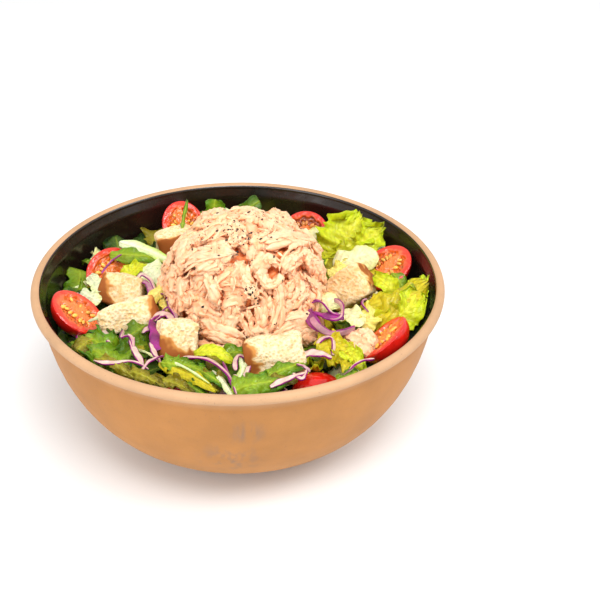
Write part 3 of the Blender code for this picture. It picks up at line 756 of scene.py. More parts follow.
def half_frame(name):
    """A tomato half's own axes and sizes from its CAD node: the cut faces +Z, and the long axis is +X."""
    normal, area = faces_of(name)
    corners = corners_of(name)
    out = flat_side(normal, area, 14)
    level = corners @ out
    rim = corners[level > level.max() - 0.35 * MM]
    spread = rim - rim.mean(axis=0)
    along = np.linalg.eigh(spread.T @ spread)[1][:, -1]
    along = unit(along - out * (along @ out))
    axes = np.stack([along, np.cross(out, along), out])
    middle, half = along_axes(corners, axes)
    middle[2] += half[2]
    return middle @ axes, axes, half * (1, 1, 2)


SKIN_RED = np.array([0.66, 0.012, 0.006])
FLESH_RED = np.array([0.74, 0.040, 0.012])
SEPTUM = np.array([0.86, 0.20, 0.035])
INNER_RIM = np.array([0.80, 0.16, 0.05])

# The gel's colour and the seeds'. Tomato half 4 is riper, so its gel is browner and its seeds are duller.
GEL, SEED = np.array([0.62, 0.12, 0.010]), np.array([0.86, 0.46, 0.07])
RIPER = {4: (np.array([0.30, 0.045, 0.008]), np.array([0.62, 0.22, 0.04]))}


def sphere_ways(down, turn):
    """Directions on a sphere, at an angle down from +Z and a turn about it."""
    return np.stack([np.sin(down) * np.cos(turn), np.sin(down) * np.sin(turn), np.cos(down) + 0 * turn], axis=-1)


def half_surface(size, seed, gel):
    """The half as rings: from the cut's centre out to the rim, round the edge, then down an ellipsoid to the
    pole. The cut dips into two pockets, where |y| passes the septum, and the flesh inside them is lumpy."""
    turn = all_round(112)
    share = np.concatenate([np.linspace(0, 0.94, 44), [0.965, 0.985, 0.996, 1.0]])[:, None]
    x, y = share * np.cos(turn), share * np.sin(turn)
    place = np.stack([x * size[0], y * size[1], 0 * x + seed * 0.05], axis=-1)
    lump = wobble(place, 5 * MM, seed)
    ring = np.hypot(x / 0.77, y / 0.76) + 0.05 * lump
    thick = 0.13 + 0.16 * np.exp(-((x / 0.25) ** 2)) + 0.05 * lump
    septum = abs(y + 0.06 * np.sin(4 * x + seed)) - thick
    pocket = smooth_step(1 - ring, 0.0, 0.12) * smooth_step(septum, 0.0, 0.10)
    grain = wobble(place, 1.6 * MM, seed + 7)
    height = -1.1 * MM * pocket + 0.12 * MM * grain * (0.4 + pocket) + 0.25 * MM * lump * (1 - share**6)
    height = height - 0.6 * MM * smooth_step(share, 0.94, 1.0) ** 2
    white = smooth_step(ring, 0.86, 0.98) * (1 - smooth_step(ring, 1.0, 1.14))
    flesh = blended(FLESH_RED, SEPTUM, smooth_step(1.12 - ring, 0, 0.35) * (1 - pocket))
    flesh = blended(flesh, INNER_RIM, 0.5 * white * (1 - pocket))
    streak = 0.5 + 0.5 * np.sin(np.arctan2(y, x) * 26 + 5 * lump)
    flesh = flesh * (1 + 0.16 * (streak - 0.5) * (1 - pocket))[..., None]
    flesh = blended(flesh, gel * (1 + 0.35 * grain[..., None]), pocket)
    flesh = blended(flesh, SKIN_RED, smooth_step(share, 0.95, 0.99))
    down = np.linspace(0.03, 1, 30)[:, None] * math.pi / 2
    under = sphere_ways(math.pi / 2 + down, turn) * size
    under[..., 2] -= 0.3 * MM * np.cos(down)
    top = np.stack([place[..., 0], place[..., 1], height], axis=-1)
    skin = np.broadcast_to(SKIN_RED, under.shape) * (1 + 0.10 * wobble(under, 12 * MM, seed + 3)[..., None])
    return np.concatenate([top, under]), np.concatenate([flesh, skin])


def seeds_in(size, seed, colour):
    """Seeds in the two pockets: flattened drops that lie in a row along each side of the septum, and point to
    it. Each is an ellipsoid grid of 7 rings of 10."""
    rng = np.random.default_rng(100 + seed)
    count = 13
    side = np.where(np.arange(count) % 2 == 0, 1, -1)
    x = np.linspace(-0.52, 0.52, count) + rng.uniform(-0.05, 0.05, count)
    y = side * (0.36 + 0.12 * rng.uniform(-1, 1, count)) * np.sqrt(np.clip(1 - (x / 0.72) ** 2, 0.2, 1))
    centre = np.stack([x * size[0], y * size[1], rng.uniform(-0.75, -0.25, count) * MM], axis=1)
    aim = np.arctan2(y, 0.7 * x) + rng.uniform(-0.5, 0.5, count)
    ball = np.roll(sphere_ways(np.linspace(0, math.pi, 7)[:, None], all_round(10)), 1, axis=-1)
    ball = ball * np.array([1.75, 1.05, 0.70]) * MM * rng.uniform(0.8, 1.1, (count, 1, 1, 1))
    cos, sin = np.cos(aim)[:, None, None], np.sin(aim)[:, None, None]
    turned_x = ball[..., 0] * cos - ball[..., 1] * sin
    turned_y = ball[..., 0] * sin + ball[..., 1] * cos
    ball = np.stack([turned_x, turned_y, ball[..., 2]], axis=-1) + centre[:, None, None]
    tint = colour * rng.uniform(0.75, 1.15, (count, 1, 1, 1)) * np.ones(ball.shape)
    return ball, tint


tomato_flesh = wet(
    "tomato_flesh", 0.16, 350, 0.00008,
    Subsurface_Weight=0.12, Subsurface_Scale=0.002, Coat_Weight=0.3, Coat_Roughness=0.06,
)
for number in range(1, 9):
    source = f"tomato_half_{number}"
    centre, axes, size = half_frame(source)
    gel, seed_colour = RIPER.get(number, (GEL, SEED))
    body, body_tint = half_surface(size, number, gel)
    half = skins(f"tomato_{number}", (body @ axes + centre)[None], body_tint[None])
    served(half, source, "tomato", tomato_flesh)
    pips, pip_tint = seeds_in(size, number, seed_colour)
    pip = skins(f"tomato_{number}_seeds", pips @ axes + centre, pip_tint)
    served(pip, source, "tomato", tomato_flesh)

# Croutons. White bread torn into cubes and baked: an open cream crumb full of holes, and a browned crust on
# the side that was the outside of the loaf.

# The way each crouton's crust faces, how far round it the crust reaches, and how toasted its crumb is
CRUSTS = {
    "crouton_1": ((0.1, -0.85, -0.30), 0.25, 0.2),
    "crouton_2": ((-0.85, -0.45, -0.10), 0.36, 0.2),
    "crouton_3": ((0.95, -0.1, 0.15), 0.56, 0.0),
    "crouton_4": ((-0.45, -0.70, -0.57), 0.22, 0.0),
    "crouton_5": ((-0.90, -0.35, -0.30), 0.37, 0.0),
    "crouton_6": ((0.75, 0.10, 0.60), 0.70, 0.4),
}
CRUMB = np.array([0.85, 0.69, 0.43])
# Toasted crumb's colour, also used as painted shade on the sides that face down
TOASTED_AND_SHADED = np.array([0.80, 0.52, 0.22])
CRUST = np.array([0.30, 0.080, 0.010])
CRUST_EDGE = np.array([0.55, 0.23, 0.045])
# Painted shade in the holes: how far each channel of the crumb darkens at a hole's full depth
HOLE_SHADE = np.array([0.12, 0.24, 0.42])
SMALL_HOLE = 0.36 * MM


def box_frame(name):
    """A crouton's own axes, half sizes and centre from its CAD node, by its two largest flat sides."""
    normal, area = faces_of(name)
    corners = corners_of(name)
    first = flat_side(normal, area, 24)
    second = flat_side(normal, area, 24, first)
    second = unit(second - first * (first @ second))
    axes = np.stack([first, second, np.cross(first, second)])
    middle, half = along_axes(corners, axes)
    return middle @ axes, axes, half


def nearest(places, seeds):
    """Distance from each place to its nearest seed, for a few thousand places at a time."""
    parts = np.array_split(places, 4)
    return np.sqrt(np.concatenate([((part[:, None] - seeds) ** 2).sum(axis=-1).min(axis=1) for part in parts]))


def torn_cube(half, crust_way, crust_reach, toasting, down_way, seed):
    """Directions on a sphere divided by their 8-norm give a rounded box. Low waves make it uneven, and round
    holes, sunk where a place is near a scattered seed point, open the crumb but not the crust. The crumb is
    darker the deeper a hole sinks it, which is painted shade."""
    rng = np.random.default_rng(seed)
    way = sphere_ways(np.linspace(0, math.pi, 100)[:, None], all_round(150))
    cube = way / (abs(way) ** 8).sum(axis=-1, keepdims=True) ** 0.125
    places = cube * half * 0.96
    outward = unit(way * (abs(cube) ** 3 + 0.12))
    places = places + outward * (0.7 * MM * wobble(places, 13 * MM, seed, 1))[..., None]
    toward = (places * crust_way).sum(axis=-1) / abs(half * crust_way).sum()
    facing = 0.45 * outward @ crust_way + 0.55 * toward + 0.06 * wobble(places, 8 * MM, seed + 1)
    crust = smooth_step(facing, crust_reach, crust_reach + 0.07)
    flat = places.reshape(-1, 3)
    hole = np.zeros(len(flat))
    for count, radius, depth in ((26, 1.5 * MM, 0.9 * MM), (900, 1.0 * MM, SMALL_HOLE)):
        near = nearest(flat, rng.uniform(-1, 1, (count, 3)) * half * 1.02)
        hole += depth * np.sqrt(np.clip(1 - (near / radius) ** 2, 0, 1))
    hole = hole.reshape(crust.shape) * (1 - crust)
    fuzz = 0.09 * MM * wobble(places, 1.8 * MM, seed + 2, 2) * (1 - 0.9 * crust)
    places = places + outward * (fuzz - hole)[..., None]
    toast = 0.5 + 0.5 * wobble(places, 9 * MM, seed + 5)
    toast_and_shade = toasting + 0.4 * smooth_step(toast, 0.6, 1.1)
    toast_and_shade = toast_and_shade + 0.5 * smooth_step(facing, crust_reach - 0.12, crust_reach)
    # Painted shade: the crumb is browner on the sides that face down
    toast_and_shade = toast_and_shade + 0.9 * smooth_step(outward @ down_way, -0.05, 0.75)
    crumb = blended(CRUMB, TOASTED_AND_SHADED, np.clip(toast_and_shade, 0, 1))
    # Painted shade: the crumb darkens with the depth of its hole
    crumb = crumb * (1 - HOLE_SHADE * np.clip(hole / SMALL_HOLE, 0, 1)[..., None])
    baked = smooth_step(facing + 0.15 * (toast - 0.5), crust_reach, crust_reach + 0.17)
    return places, blended(crumb, blended(CRUST_EDGE, CRUST, baked), crust)


def baked_bread():
    """Dry crumb and crust: the mesh's colour, and in the crumb, which is told by how pale it is, fine round
    pores from the nearest point of a cell pattern, sunk in by a bump and darker by painted shade."""
    sockets = {"Subsurface_Weight": 0.1, "Subsurface_Scale": 0.0015, "Specular_IOR_Level": 0.3}
    material, tree, shader = principled("baked_bread", 0.72, **sockets)
    tint = tinted(tree)
    blue = node(tree, "ShaderNodeSeparateColor", {"Color": tint}).outputs["Blue"]
    place = node(tree, "ShaderNodeTexCoord").outputs["Object"]
    coarse, fine = (
        node(tree, "ShaderNodeTexVoronoi", {"Vector": place, "Scale": scale, "Randomness": 1.0}).outputs["Distance"]
        for scale in (620.0, 1500.0)
    )
    walls = calc(tree, "MULTIPLY", scaled(tree, coarse, 0.15, 0.55), scaled(tree, fine, 0.10, 0.50, 0.6, 1.0))
    open_crumb = scaled(tree, blue, 0.14, 0.32)
    pore_shade_and_height = node(tree, "ShaderNodeMix", {"Factor": open_crumb, "A": 1.0, "B": walls}).outputs["Result"]
    # Painted shade: the pores are darker than the walls between them
    shares = (scaled(tree, pore_shade_and_height, 0.0, 1.0, low, high) for low, high in ((0.87, 1.03), (0.74, 1.05), (0.56, 1.08)))
    tree.links.new(dyed(tree, tint, *shares), shader.inputs["Base Color"])
    bumped(tree, shader, pore_shade_and_height, 0.0004, 0.7)
    return material


bread = baked_bread()
for number, (source, (way, reach, toasting)) in enumerate(CRUSTS.items(), 1):
    centre, axes, half = box_frame(source)
    crust_way = axes @ unit(np.array(way))
    cube, cube_tint = torn_cube(half, crust_way, reach, toasting, -axes[:, 2], 40 + number)
    crouton = skins(f"crouton_bread_{number}", (cube @ axes + centre)[None], cube_tint[None])
    served(crouton, source, "bread", bread)

# Shredded chicken. Poached breast torn into lumps, shreds and threads and piled up: the fibres run along each
# piece and its ends are ragged. The large lumps are laid one by one, and smaller ones fill between them.

heap_corners = corners_of("chicken_heap")
HEAP_CENTRE = np.array([3.5, -3, 70]) * MM
# Pale meat, and peach meat that also serves as painted shade in grooves, underneath and low in the pile
MEAT_PALE = np.array([0.99, 0.60, 0.36])
MEAT_PEACH_AND_SHADE = np.array([0.98, 0.31, 0.10])

# Large torn lumps: start, middle and end in mm, width, thickness and lift off the heap in mm, and how far
# painted shade deepens their colour where they lie low in the pile
LUMPS = (
    ((-24, -9, 108), (-21, -1, 113), (-18, 6, 113), 12, 6, 0, 0.1),
    ((-18, 2, 110), (-19, 4, 115), (-19, 6, 120), 4, 3, 0, 0.0),
    ((-12, -5, 115), (-4, -8, 118), (4, -12, 117), 12, 5, -1, 0.0),
    ((0, 3, 116), (11, 8, 119), (21, 0, 115), 8, 5, 0, 0.1),
    ((12, -5, 117), (22, -4, 116), (32, -5, 108), 8, 5, 0, 0.1),
    ((10, -23, 113), (24, -13, 114), (40, 2, 103), 9, 5, 1, 0.0),
    ((34, -2, 107), (39, 6, 102), (42, 12, 96), 8, 5, 0, 0.1),
    ((-30, -15, 99), (-16, -21, 109), (-1, -25, 113), 12, 5, 1, 0.0),
    ((-40, -4, 86), (-34, 0, 97), (-27, -9, 106), 8, 5, 1, 0.0),
    ((-37, -8, 86), (-30, -15, 97), (-25, -18, 103), 6, 4, 2, 0.1),
    ((-24, -24, 101), (-13, -27, 107), (-6, -29, 109), 8, 4, 1, 0.0),
    ((-16, -28, 104), (-13, -35, 98), (-9, -39, 89), 5, 3.5, 3, 0.1),
    ((-31, -18, 97), (-29, -25, 90), (-26, -30, 82), 10, 6, 0, 0.3),
    ((-25, -31, 87), (-16, -37, 86), (-7, -42, 83), 9, 5, 0, 0.3),
    ((-10, -36, 97), (-3, -38, 98), (5, -39, 96), 11, 5, -3, 0.9),
    ((-2, -27, 111), (2, -33, 107), (4, -36, 102), 5, 4, 0, 0.3),
    ((10, -31, 107), (14, -28, 111), (21, -28, 105), 5, 3.5, 2, 0.0),
    ((10, -31, 105), (15, -36, 101), (22, -30, 103), 5, 3.5, 2, 0.1),
    ((17, -33, 101), (19, -39, 88), (14, -43, 75), 7, 5, 2, 0.0),
    ((7, -39, 93), (11, -42, 85), (8, -45, 75), 6, 4, 1, 0.2),
    ((-3, -39, 93), (-4, -42, 86), (-8, -43, 78), 8, 4, 1, 0.1),
    ((0, -40, 89), (2, -43, 82), (5, -45, 75), 3, 3, 2, 0.2),
    ((4, -41, 91), (5, -43, 84), (6, -45, 76), 3, 3, 1, 0.3),
    ((24, -27, 104), (31, -28, 94), (25, -36, 86), 8, 5, 1, 0.0),
    ((31, -14, 109), (33, -17, 104), (35, -21, 97), 5, 4, 3, 0.0),
    ((38, 0, 103), (44, 4, 101), (49, 8, 98), 3, 2.5, 1, 0.0),
    ((36, -14, 100), (43, -6, 92), (43, -8, 82), 8, 5, 1, 0.0),
    ((34, -23, 96), (40, -18, 87), (43, -11, 76), 8, 5, 1, 0.1),
    ((16, -42, 73), (28, -38, 79), (44, -31, 70), 12, 6, 2, 0.1),
    ((22, -42, 70), (30, -40, 73), (40, -35, 68), 9, 5, 3, 0.2),
    ((-23, -37, 79), (-9, -43, 80), (5, -46, 73), 5, 4, 2, 0.0),
    ((-24, -39, 74), (-8, -46, 77), (2, -49, 69), 4.5, 3.5, 3, 0.1),
    ((-24, -41, 69), (-13, -48, 72), (-4, -50, 69), 4.5, 3.5, 3, 0.1),
    ((-13, -49, 68), (-6, -47, 74), (-9, -48, 68), 2.2, 2, 4, 0.0),
    ((3, -45, 75), (10, -44, 78), (18, -42, 74), 6, 4, 2, 0.1),
    ((2, -34, 106), (4, -37, 100), (8, -39, 94), 4.5, 3.5, 2, 0.0),
    ((21, -30, 103), (25, -24, 107), (30, -17, 107), 5, 4, 2, 0.0),
    ((4, -16, 118), (11, -17, 116), (18, -11, 116), 8, 4, 0, 0.3),
    ((-8, -19, 115), (-1, -18, 117), (5, -15, 118), 7, 4, 0, 0.1),
    ((-26, -6, 107), (-21, -9, 112), (-16, -14, 113), 8, 5, 0, 0.1),
    ((-9, -31, 106), (-2, -32, 107), (3, -34, 105), 6, 4, -1, 0.5),
    ((-5, -34, 103), (0, -35, 103), (4, -34, 104), 5, 4, -2, 0.6),
    ((21, -36, 92), (25, -32, 96), (29, -28, 99), 6, 4, 0, 0.5),
    ((20, -39, 85), (24, -36, 88), (30, -32, 91), 6, 4, 0, 0.3),
    ((6, -28, 111), (9, -32, 107), (11, -36, 101), 5, 4, 0, 0.2),
    ((-36, -14, 84), (-34, -22, 80), (-30, -28, 76), 7, 5, 0, 0.2),
    ((-20, -36, 84), (-26, -34, 78), (-31, -30, 74), 6, 4, 1, 0.2),
)


def heap_skin(way, lift=0.0):
    """The heap's surface in each direction from its centre: the heap's corners, weighted by how near they are
    to that direction, give the distance out, and lift moves it further."""
    corner_way = heap_corners - HEAP_CENTRE
    distance = np.linalg.norm(corner_way, axis=1)
    corner_way = corner_way / distance[:, None]
    flat = way.reshape(-1, 3)
    weight = np.exp((flat @ corner_way.T - 1) / 0.008) + 1e-12
    out = (weight @ distance) / weight.sum(axis=1)
    return HEAP_CENTRE + flat.reshape(way.shape) * (out.reshape(way.shape[:-1]) + lift)[..., None]


def torn_stack(paths, lift_way, width, thickness, depth, around, seed):
    """K torn lumps round their paths. The cross-section is a flattened superellipse. Ridges run along the
    fibres, waves and fine noise make it lumpy, and every fibre ends at its own place, so the ends are ragged.
    depth, painted shade for pieces that lie low in the pile, deepens the colour, and painted shade also
    deepens it in grooves and underneath."""
    rng = np.random.default_rng(seed)
    count, rings = paths.shape[:2]
    along = unit(np.gradient(paths, axis=1))
    side = unit(np.cross(along, lift_way))
    up = np.cross(side, along)
    u = np.linspace(0, 1, rings)[None, :, None]
    turn = all_round(around)[None, None]
    length = np.linalg.norm(np.diff(paths, axis=1), axis=-1).sum(axis=1)[:, None, None]
    phase = rng.uniform(0, math.tau, (8, count, 1, 1))
    fingers = rng.uniform(-1, 1, (2, count, 1, around))
    bias = 0.8 * np.sin(2 * turn + phase[0])
    fingers = fingers + 0.7 * np.roll(fingers, 1, axis=-1) + np.stack([bias, -bias])
    shorten = np.where(u > 0.5, fingers[0], fingers[1])
    reach = 1 - abs(2 * u - 1) * (1 + np.clip(0.16 + 0.10 * shorten, -0.05, 0.42))
    taper = np.clip(reach / rng.uniform(0.22, 0.5, (count, 1, 1)), 0, 1) ** 0.55
    taper = np.maximum(taper, 0.10 + 0.05 * fingers[0])
    swirl = 1.2 * np.sin(2.6 * u + phase[1]) + 0.4 * np.sin(6 * u + phase[2])
    ridge = 0
    for m in (3, 5, 7, 9, 12):
        sway = (m + 1) * phase[3] + 0.8 * np.sin(3 * u + m * phase[4])
        ridge = ridge + np.sin(m * (turn + 0.25 * swirl) + sway) / (m - 1)
    swell = 1 + 0.16 * np.sin(5 * u + phase[5]) + 0.09 * np.sin(11 * u + phase[6] + turn)
    radius = taper * swell * (1 + 0.13 * ridge)
    cos, sin = (np.sign(wave) * abs(wave) ** 0.75 for wave in (np.cos(turn), np.sin(turn)))
    wide, thick = width[:, None, None], thickness[:, None, None]
    rise = radius * sin * thick / 2 + 0.12 * wide * np.sin(7 * u + phase[7]) * cos
    points = swept(paths, side, up, radius * cos * wide / 2, rise)
    rag = np.where(u > 0.5, 1, -1) * shorten * abs(2 * u - 1) ** 4 * 0.05 * length
    points = points + along[:, :, None] * rag[..., None]
    rough = np.stack([wobble(points, 2.6 * MM, seed + i, 2) for i in range(3)], axis=-1)
    points = points + rough * 0.085 * np.clip(width, 1.5 * MM, 6 * MM)[:, None, None, None]
    # Painted shade: more peach in the grooves, on the underside and with depth
    share = 0.40 - 0.36 * ridge - 0.30 * sin + 0.55 * depth[:, None, None]
    share = share + 0.22 * wobble(points, 7 * MM, seed + 9, 2)
    colour = blended(MEAT_PALE, MEAT_PEACH_AND_SHADE, 0.62 * np.clip(share, 0, 1.25))
    colour = colour * rng.uniform(0.95, 1.04, (count, 1, 1, 1))
    around_half = abs(turn / math.pi - 1) * wide / (5 * MM)
    uv = np.stack(np.broadcast_arrays(u * length / (20 * MM), around_half), axis=-1)
    return points, colour, uv


def through(rows, rings):
    """A parabola through each row's start, middle and end, which are given in mm."""
    start, middle, end = (np.array([row[i] for row in rows], float)[:, None] * MM for i in range(3))
    u = np.linspace(0, 1, rings)[None, :, None]
    return start * (1 - u) ** 2 + (4 * middle - start - end) * u * (1 - u) + end * u**2


def laid_paths(rows, rings):
    """The parabolas drawn most of the way to the heap's surface, and lifted off it."""
    curve = through(rows, rings)
    lift = np.array([row[5] - 2.5 for row in rows], float)[:, None] * MM
    way = unit(curve - HEAP_CENTRE)
    own = np.linalg.norm(curve - HEAP_CENTRE, axis=-1)
    own_place = HEAP_CENTRE + way * (own + lift)[..., None]
    return 0.65 * heap_skin(way, 0 * own + lift) + 0.35 * own_place, way


def strands_over(paths, lift_way, width, thickness, depth, seed, rings=14):
    """Short strands that run along each lump, side by side over its top. Each covers its own part of the
    lump's length, and lies lower the further it is from the middle. Gives paths, ways, widths, thicknesses
    and depths of painted shade."""
    rng = np.random.default_rng(seed)
    side = unit(np.cross(unit(np.gradient(paths, axis=1)), lift_way))
    each = np.maximum(3, np.round(width / (1.5 * MM)).astype(int))
    parent = np.repeat(np.arange(len(paths)), each)
    count = len(parent)
    order = np.arange(count) - np.repeat(np.cumsum(each) - each, each)
    across = (order + 0.5) / each[parent] * 2 - 1 + rng.uniform(-0.12, 0.12, count)
    begin = rng.uniform(0, 0.6, count)
    finish = np.minimum(begin + rng.uniform(0.3, 0.6, count), 1)
    place = (begin[:, None] + (finish - begin)[:, None] * np.linspace(0, 1, rings)) * (paths.shape[1] - 1)
    below = np.minimum(place.astype(int), paths.shape[1] - 2)
    line, way, level = (
        blended(field[parent[:, None], below], field[parent[:, None], below + 1], place - below)
        for field in (paths, lift_way, side)
    )
    fan = 0.40 * across[:, None] + 0.16 * rng.uniform(-1, 1, (count, 1)) * np.linspace(-1, 1, rings)
    high = 0.42 * thickness[parent] * np.sqrt(np.clip(1 - across**2, 0, 1))
    high = high + rng.uniform(-0.3, 0.5, count) * MM
    line = line + level * (fan * width[parent][:, None])[..., None] + way * high[:, None, None]
    size = rng.uniform(1.0, 2.0, count) * width[parent] / each[parent]
    shade_depth = np.clip(depth[parent] + rng.uniform(-0.15, 0.25, count), 0, 1)
    return line, unit(way + 0.4 * level * across[:, None, None]), size, 0.75 * size, shade_depth


def lying_paths(count, length, rings, seed, lift, bend, least_turn=0.0, most_turn=math.tau):
    """Paths that lie over the heap. Each starts in a random direction from the heap's centre and swings round
    it along a random heading, with a slow bend and a tilt that lifts one end."""
    rng = np.random.default_rng(seed)
    height = rng.uniform(0.0, 1.0, count)
    turn = rng.uniform(least_turn, most_turn, count)
    level = np.sqrt(np.clip(1 - height**2, 0, 1))
    start = np.stack([level * np.cos(turn), level * np.sin(turn), height], axis=1)
    east = unit(np.cross(np.array([0, 0, 1.0]), start) + 1e-6)
    down = np.cross(east, start)
    falls = rng.uniform(size=count) < 0.45
    heading = np.where(falls, rng.normal(math.pi / 2, 0.5, count), rng.uniform(0, math.tau, count))
    s = np.linspace(-0.5, 0.5, rings)[None, :] * length[:, None] / (42 * MM)
    curve = heading[:, None] + bend * rng.normal(size=(count, 1)) * s * 2
    step = np.cos(curve)[..., None] * east[:, None] + np.sin(curve)[..., None] * down[:, None]
    way = unit(start[:, None] + s[..., None] * step)
    way[..., 2] = np.maximum(way[..., 2], -0.12)
    way = unit(way)
    arch = 1 - (2 * np.linspace(0, 1, rings) - 1) ** 2
    lift = lift[:, None] + rng.uniform(-1, 1, (count, 1)) * np.linspace(-1, 1, rings) * 0.09 * length[:, None]
    return heap_skin(way, lift + rng.uniform(-1.0, 1.2, (count, 1)) * MM * arch), way


def meat():
    """Moist cooked meat: the mesh's colour, fine streaks along the fibres, a soft wet gloss."""
    sockets = {"Subsurface_Weight": 0.20, "Subsurface_Scale": 0.003, "Specular_IOR_Level": 0.35}
    material, tree, shader = principled("pulled_chicken", 0.42, **sockets)
    shader.inputs["Subsurface Radius"].default_value = (1.0, 0.45, 0.25)
    fibre = node(tree, "ShaderNodeUVMap", uv_map="UVMap").outputs["UV"]
    streak = noise(tree, 1.0, 3.0, 0.5, Vector=stretched(tree, fibre, (3.0, 14.0, 1.0)))
    cloud = scaled(tree, streak, 0.3, 0.7, 0.93, 1.05)
    tree.links.new(dyed(tree, tinted(tree), cloud), shader.inputs["Base Color"])
    tree.links.new(scaled(tree, noise(tree, 260, 2), 0.3, 0.7, 0.28, 0.55), shader.inputs["Roughness"])
    bumped(tree, shader, streak, 0.0003)
    return material


chicken_meat = meat()


def chicken(name, points, colour, uv, source="chicken_heap"):
    """One mesh of meat."""
    served(skins(name, points, colour, uv), source, "chicken", chicken_meat)


def heap_core():
    """A rough dome under the pieces that show: the heap's surface, a few millimetres in, closed below. It is
    all peach, painted shade for the gaps between the pieces.
    """
    down = np.concatenate([np.linspace(0, 1.65, 60), [1.8, 2.4, math.pi]])[:, None]
    turn = all_round(120)
    way = sphere_ways(down, turn)
    places = heap_skin(way, -6 * MM)
    places = places + way * (1.5 * MM * wobble(places, 9 * MM, 21))[..., None]
    # Painted shade: the whole core is peach, the colour of the gaps between the pieces
    colour = MEAT_PEACH_AND_SHADE * np.ones(places.shape)
    uv = np.stack(np.broadcast_arrays(down, turn), axis=-1)
    return places[None], colour[None], uv[None]


chicken("chicken_core", *heap_core())
laid, laid_way = laid_paths(LUMPS, 30)
laid_width, laid_thickness = np.array([row[3:5] for row in LUMPS]).T * MM
laid_shade = np.array([row[6] for row in LUMPS])
# The lumps lie under the strands, so they get 0.15 more painted shade
lumps = torn_stack(laid, laid_way, 0.94 * laid_width, 0.85 * laid_thickness, laid_shade + 0.15, 36, 31)
chicken("chicken_lumps", *lumps)
over = strands_over(laid, laid_way, laid_width, laid_thickness, laid_shade, 33)
chicken("chicken_strands", *torn_stack(*over, 12, 35))

# Smaller pieces: name, number, then ranges for the length, width, thickness and lift in mm and for the depth of
# painted shade, the rings, the points round each, and the turns about the heap between which they start
rng = np.random.default_rng(11)
for name, count, long, wide, thick, lift, depth, rings, around, turns in (
    ("chicken_back", 60, (12, 24), (6, 12), (4, 6), (-3.5, -1), (0, 0.4), 22, 30, (-0.35, math.pi + 0.35)),
    ("chicken_bits", 220, (7, 16), (4.0, 8.0), (3.0, 5.0), (-6, -3), (0.3, 0.9), 14, 20, (0, math.tau)),
    ("chicken_shreds", 200, (6, 16), (1.5, 3.2), (1.2, 2.4), (-3.0, -0.5), (0, 0.5), 14, 12, (0, math.tau)),
    ("chicken_threads", 160, (3, 9), (0.5, 1.1), (0.4, 0.8), (-1, 1), (0, 0.2), 10, 7, (0, math.tau)),
):
    length, width, thickness, lifts = (rng.uniform(*span, count) * MM for span in (long, wide, thick, lift))
    paths, ways = lying_paths(count, length, rings, 500 + count, lifts, 1.2, *turns)
    spin = rng.normal(0, 0.35, (count, 1, 3))
    lying = (paths, unit(ways + spin), width, thickness, rng.uniform(*depth, count))
    chicken(name, *torn_stack(*lying, around, 600 + count))
    if name == "chicken_back":
        chicken("chicken_back_strands", *torn_stack(*strands_over(*lying, 37, 10), 10, 39))

# The loose piece beside the heap: start, middle and end of a few lumps round its centre, in mm, with their
# width and thickness
scrap_low, scrap_high = (np.array(corner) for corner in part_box("chicken_piece"))
scrap_centre = (scrap_low + scrap_high) / 2
SCRAP_LUMPS = (
    ((-9, 4, 2), (0, 1, 3), (8, -5, 1), 8, 5), ((-7, -4, 0), (0, -5, 2), (7, -7, -1), 6, 4),
    ((-4, 7, 1), (2, 5, 4), (8, 2, 2), 6, 4), ((-8, 0, -1), (-4, -3, 3), (1, -7, 2), 4, 3),
    ((1, 4, 4), (4, 0, 5), (6, -5, 3), 4, 3), ((-6, 3, -3), (0, 0, -2), (7, -2, -3), 11, 6),
)
paths = scrap_centre + through(SCRAP_LUMPS, 24)
width, thickness = np.array([row[3:] for row in SCRAP_LUMPS]).T * MM
upward = np.broadcast_to(np.array([0.0, -0.4, 0.9]), paths.shape)
scrap = torn_stack(paths, upward, width, thickness, np.full(len(paths), 0.2), 32, 71)
chicken("chicken_scrap", *scrap, "chicken_piece")

# Ground pepper. Cracked black pepper scattered from above over the top of the chicken, thickest in a patch at
# the top and in a short run down the front. Each grain is a small angular chip that sits on the meat.

# Middle of each patch in mm, its spread in mm and its number of grains
PEPPER_PATCHES = (
    ((-2, -8, 118), 10, 95), ((5, -19, 116), 6, 60), ((6, -37, 98), 2.5, 34),
    ((16, 2, 117), 8, 30), ((2, -20, 112), 22, 60),
)
PEPPER_BLACK = np.array([0.012, 0.008, 0.005])
PEPPER_BROWN = np.array([0.16, 0.07, 0.03])


def grains(places, outward, size, seed):
    """K chips: spheres of 5 by 6 points whose radius is uneven, drawn flat along the way outward."""
    rng = np.random.default_rng(seed)
    count = len(places)
    ball = sphere_ways(np.linspace(0, math.pi, 5)[:, None], all_round(6))
    chip = ball * rng.uniform(0.6, 1.25, (count, 5, 6, 1)) * size[:, None, None, None]
    chip = chip * rng.uniform(0.6, 1.3, (count, 1, 1, 3))
    depth = (chip * outward[:, None, None]).sum(axis=-1, keepdims=True) * outward[:, None, None]
    colour = blended(PEPPER_BLACK, PEPPER_BROWN, rng.uniform(size=(count, 1, 1)) ** 3) * np.ones(chip.shape)
    return places[:, None, None] + chip - 0.45 * depth, colour, np.zeros((*chip.shape[:3], 2))


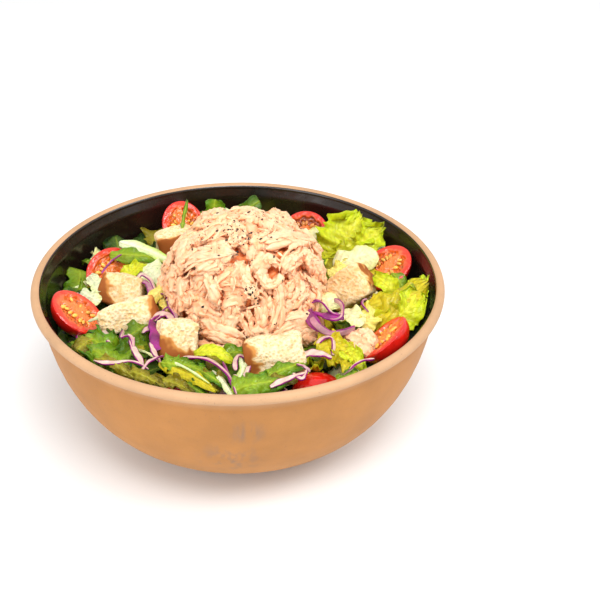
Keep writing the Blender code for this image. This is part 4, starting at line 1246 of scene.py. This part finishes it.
rng = np.random.default_rng(17)
patches = [
    np.array(middle) * MM + rng.normal(0, spread * MM, (count, 3)) for middle, spread, count in PEPPER_PATCHES
]
aimed = unit(np.concatenate(patches) - HEAP_CENTRE)
aimed = aimed[aimed[:, 2] > 0.25]
graph = bpy.context.evaluated_depsgraph_get()
LANDED_ON = ("chicken_lumps", "chicken_back", "chicken_strands", "chicken_shreds")
skins_of_meat = [BVHTree.FromObject(bpy.data.objects[name], graph) for name in LANDED_ON]
landed, normals = [], []
for way in aimed:
    start = Vector(HEAP_CENTRE + way * 0.12)
    hits = [hit for hit in (tree.ray_cast(start, Vector(-way)) for tree in skins_of_meat) if hit[0]]
    if hits:
        place, normal = min(hits, key=lambda hit: hit[3])[:2]
        landed.append(place)
        normals.append(normal)
size = rng.gamma(3.0, 0.10, len(landed)) * MM + 0.16 * MM
pepper = skins("pepper_grains", *grains(np.array(landed), np.array(normals), size, 19))
served(pepper, "chicken_heap", "chicken", wet("cracked_pepper", 0.55, 900, 0.0001))

# Studio: a pale floor, a soft key from the left and above, a fill and a pale sky. The camera looks down at
# the bowl from the front.


def floor(reach=6.0):
    """A square floor at z 0."""
    mesh = bpy.data.meshes.new("floor")
    corners = [(-reach, -reach, 0), (reach, -reach, 0), (reach, reach, 0), (-reach, reach, 0)]
    mesh.from_pydata(corners, [], [(0, 1, 2, 3)])
    thing = bpy.data.objects.new("floor", mesh)
    bpy.context.scene.collection.objects.link(thing)
    material, tree, shader = principled("floor_white", 0.9)
    shader.inputs["Base Color"].default_value = (0.82, 0.82, 0.82, 1)
    thing.data.materials.append(material)
    return thing


floor()


def lamp(name, place, aim, size, power):
    """A round soft lamp aimed at a point."""
    light = bpy.data.lights.new(name, "AREA")
    light.shape = "DISK"
    light.size = size
    light.energy = power
    thing = bpy.data.objects.new(name, light)
    thing.location = place
    thing.rotation_euler = (Vector(aim) - Vector(place)).to_track_quat("-Z", "Y").to_euler()
    bpy.context.scene.collection.objects.link(thing)


lamp("key", (0.08, -0.50, 1.05), (0, 0, 0.07), 0.6, 8.5)
lamp("fill", (-0.80, -0.90, 0.60), (0, 0, 0.05), 0.9, 5.5)
lamp("side", (1.0, -0.2, 0.90), (0, 0, 0.10), 0.6, 4.5)
sky = bpy.data.worlds.new("sky")
sky.use_nodes = True
sky.node_tree.nodes["Background"].inputs["Color"].default_value = (1, 1, 1, 1)
sky.node_tree.nodes["Background"].inputs["Strength"].default_value = 0.9
bpy.context.scene.world = sky
bpy.context.scene.view_settings.view_transform = "Standard"

CAMERA_PLACE = Vector((0, -0.5107, 0.3964))
CAMERA_AIM = Vector((0.0314, 0, 0.0686))
CAMERA_ROLL = math.radians(1.08)
lens = bpy.data.cameras.new("camera")
lens.lens = 70
lens.sensor_width = 36
camera = bpy.data.objects.new("camera", lens)
bpy.context.scene.collection.objects.link(camera)
camera.location = CAMERA_PLACE
look = (CAMERA_AIM - CAMERA_PLACE).to_track_quat("-Z", "Y")
camera.rotation_euler = look.to_euler()
camera.rotation_euler.rotate_axis("Z", CAMERA_ROLL)
bpy.context.scene.camera = camera
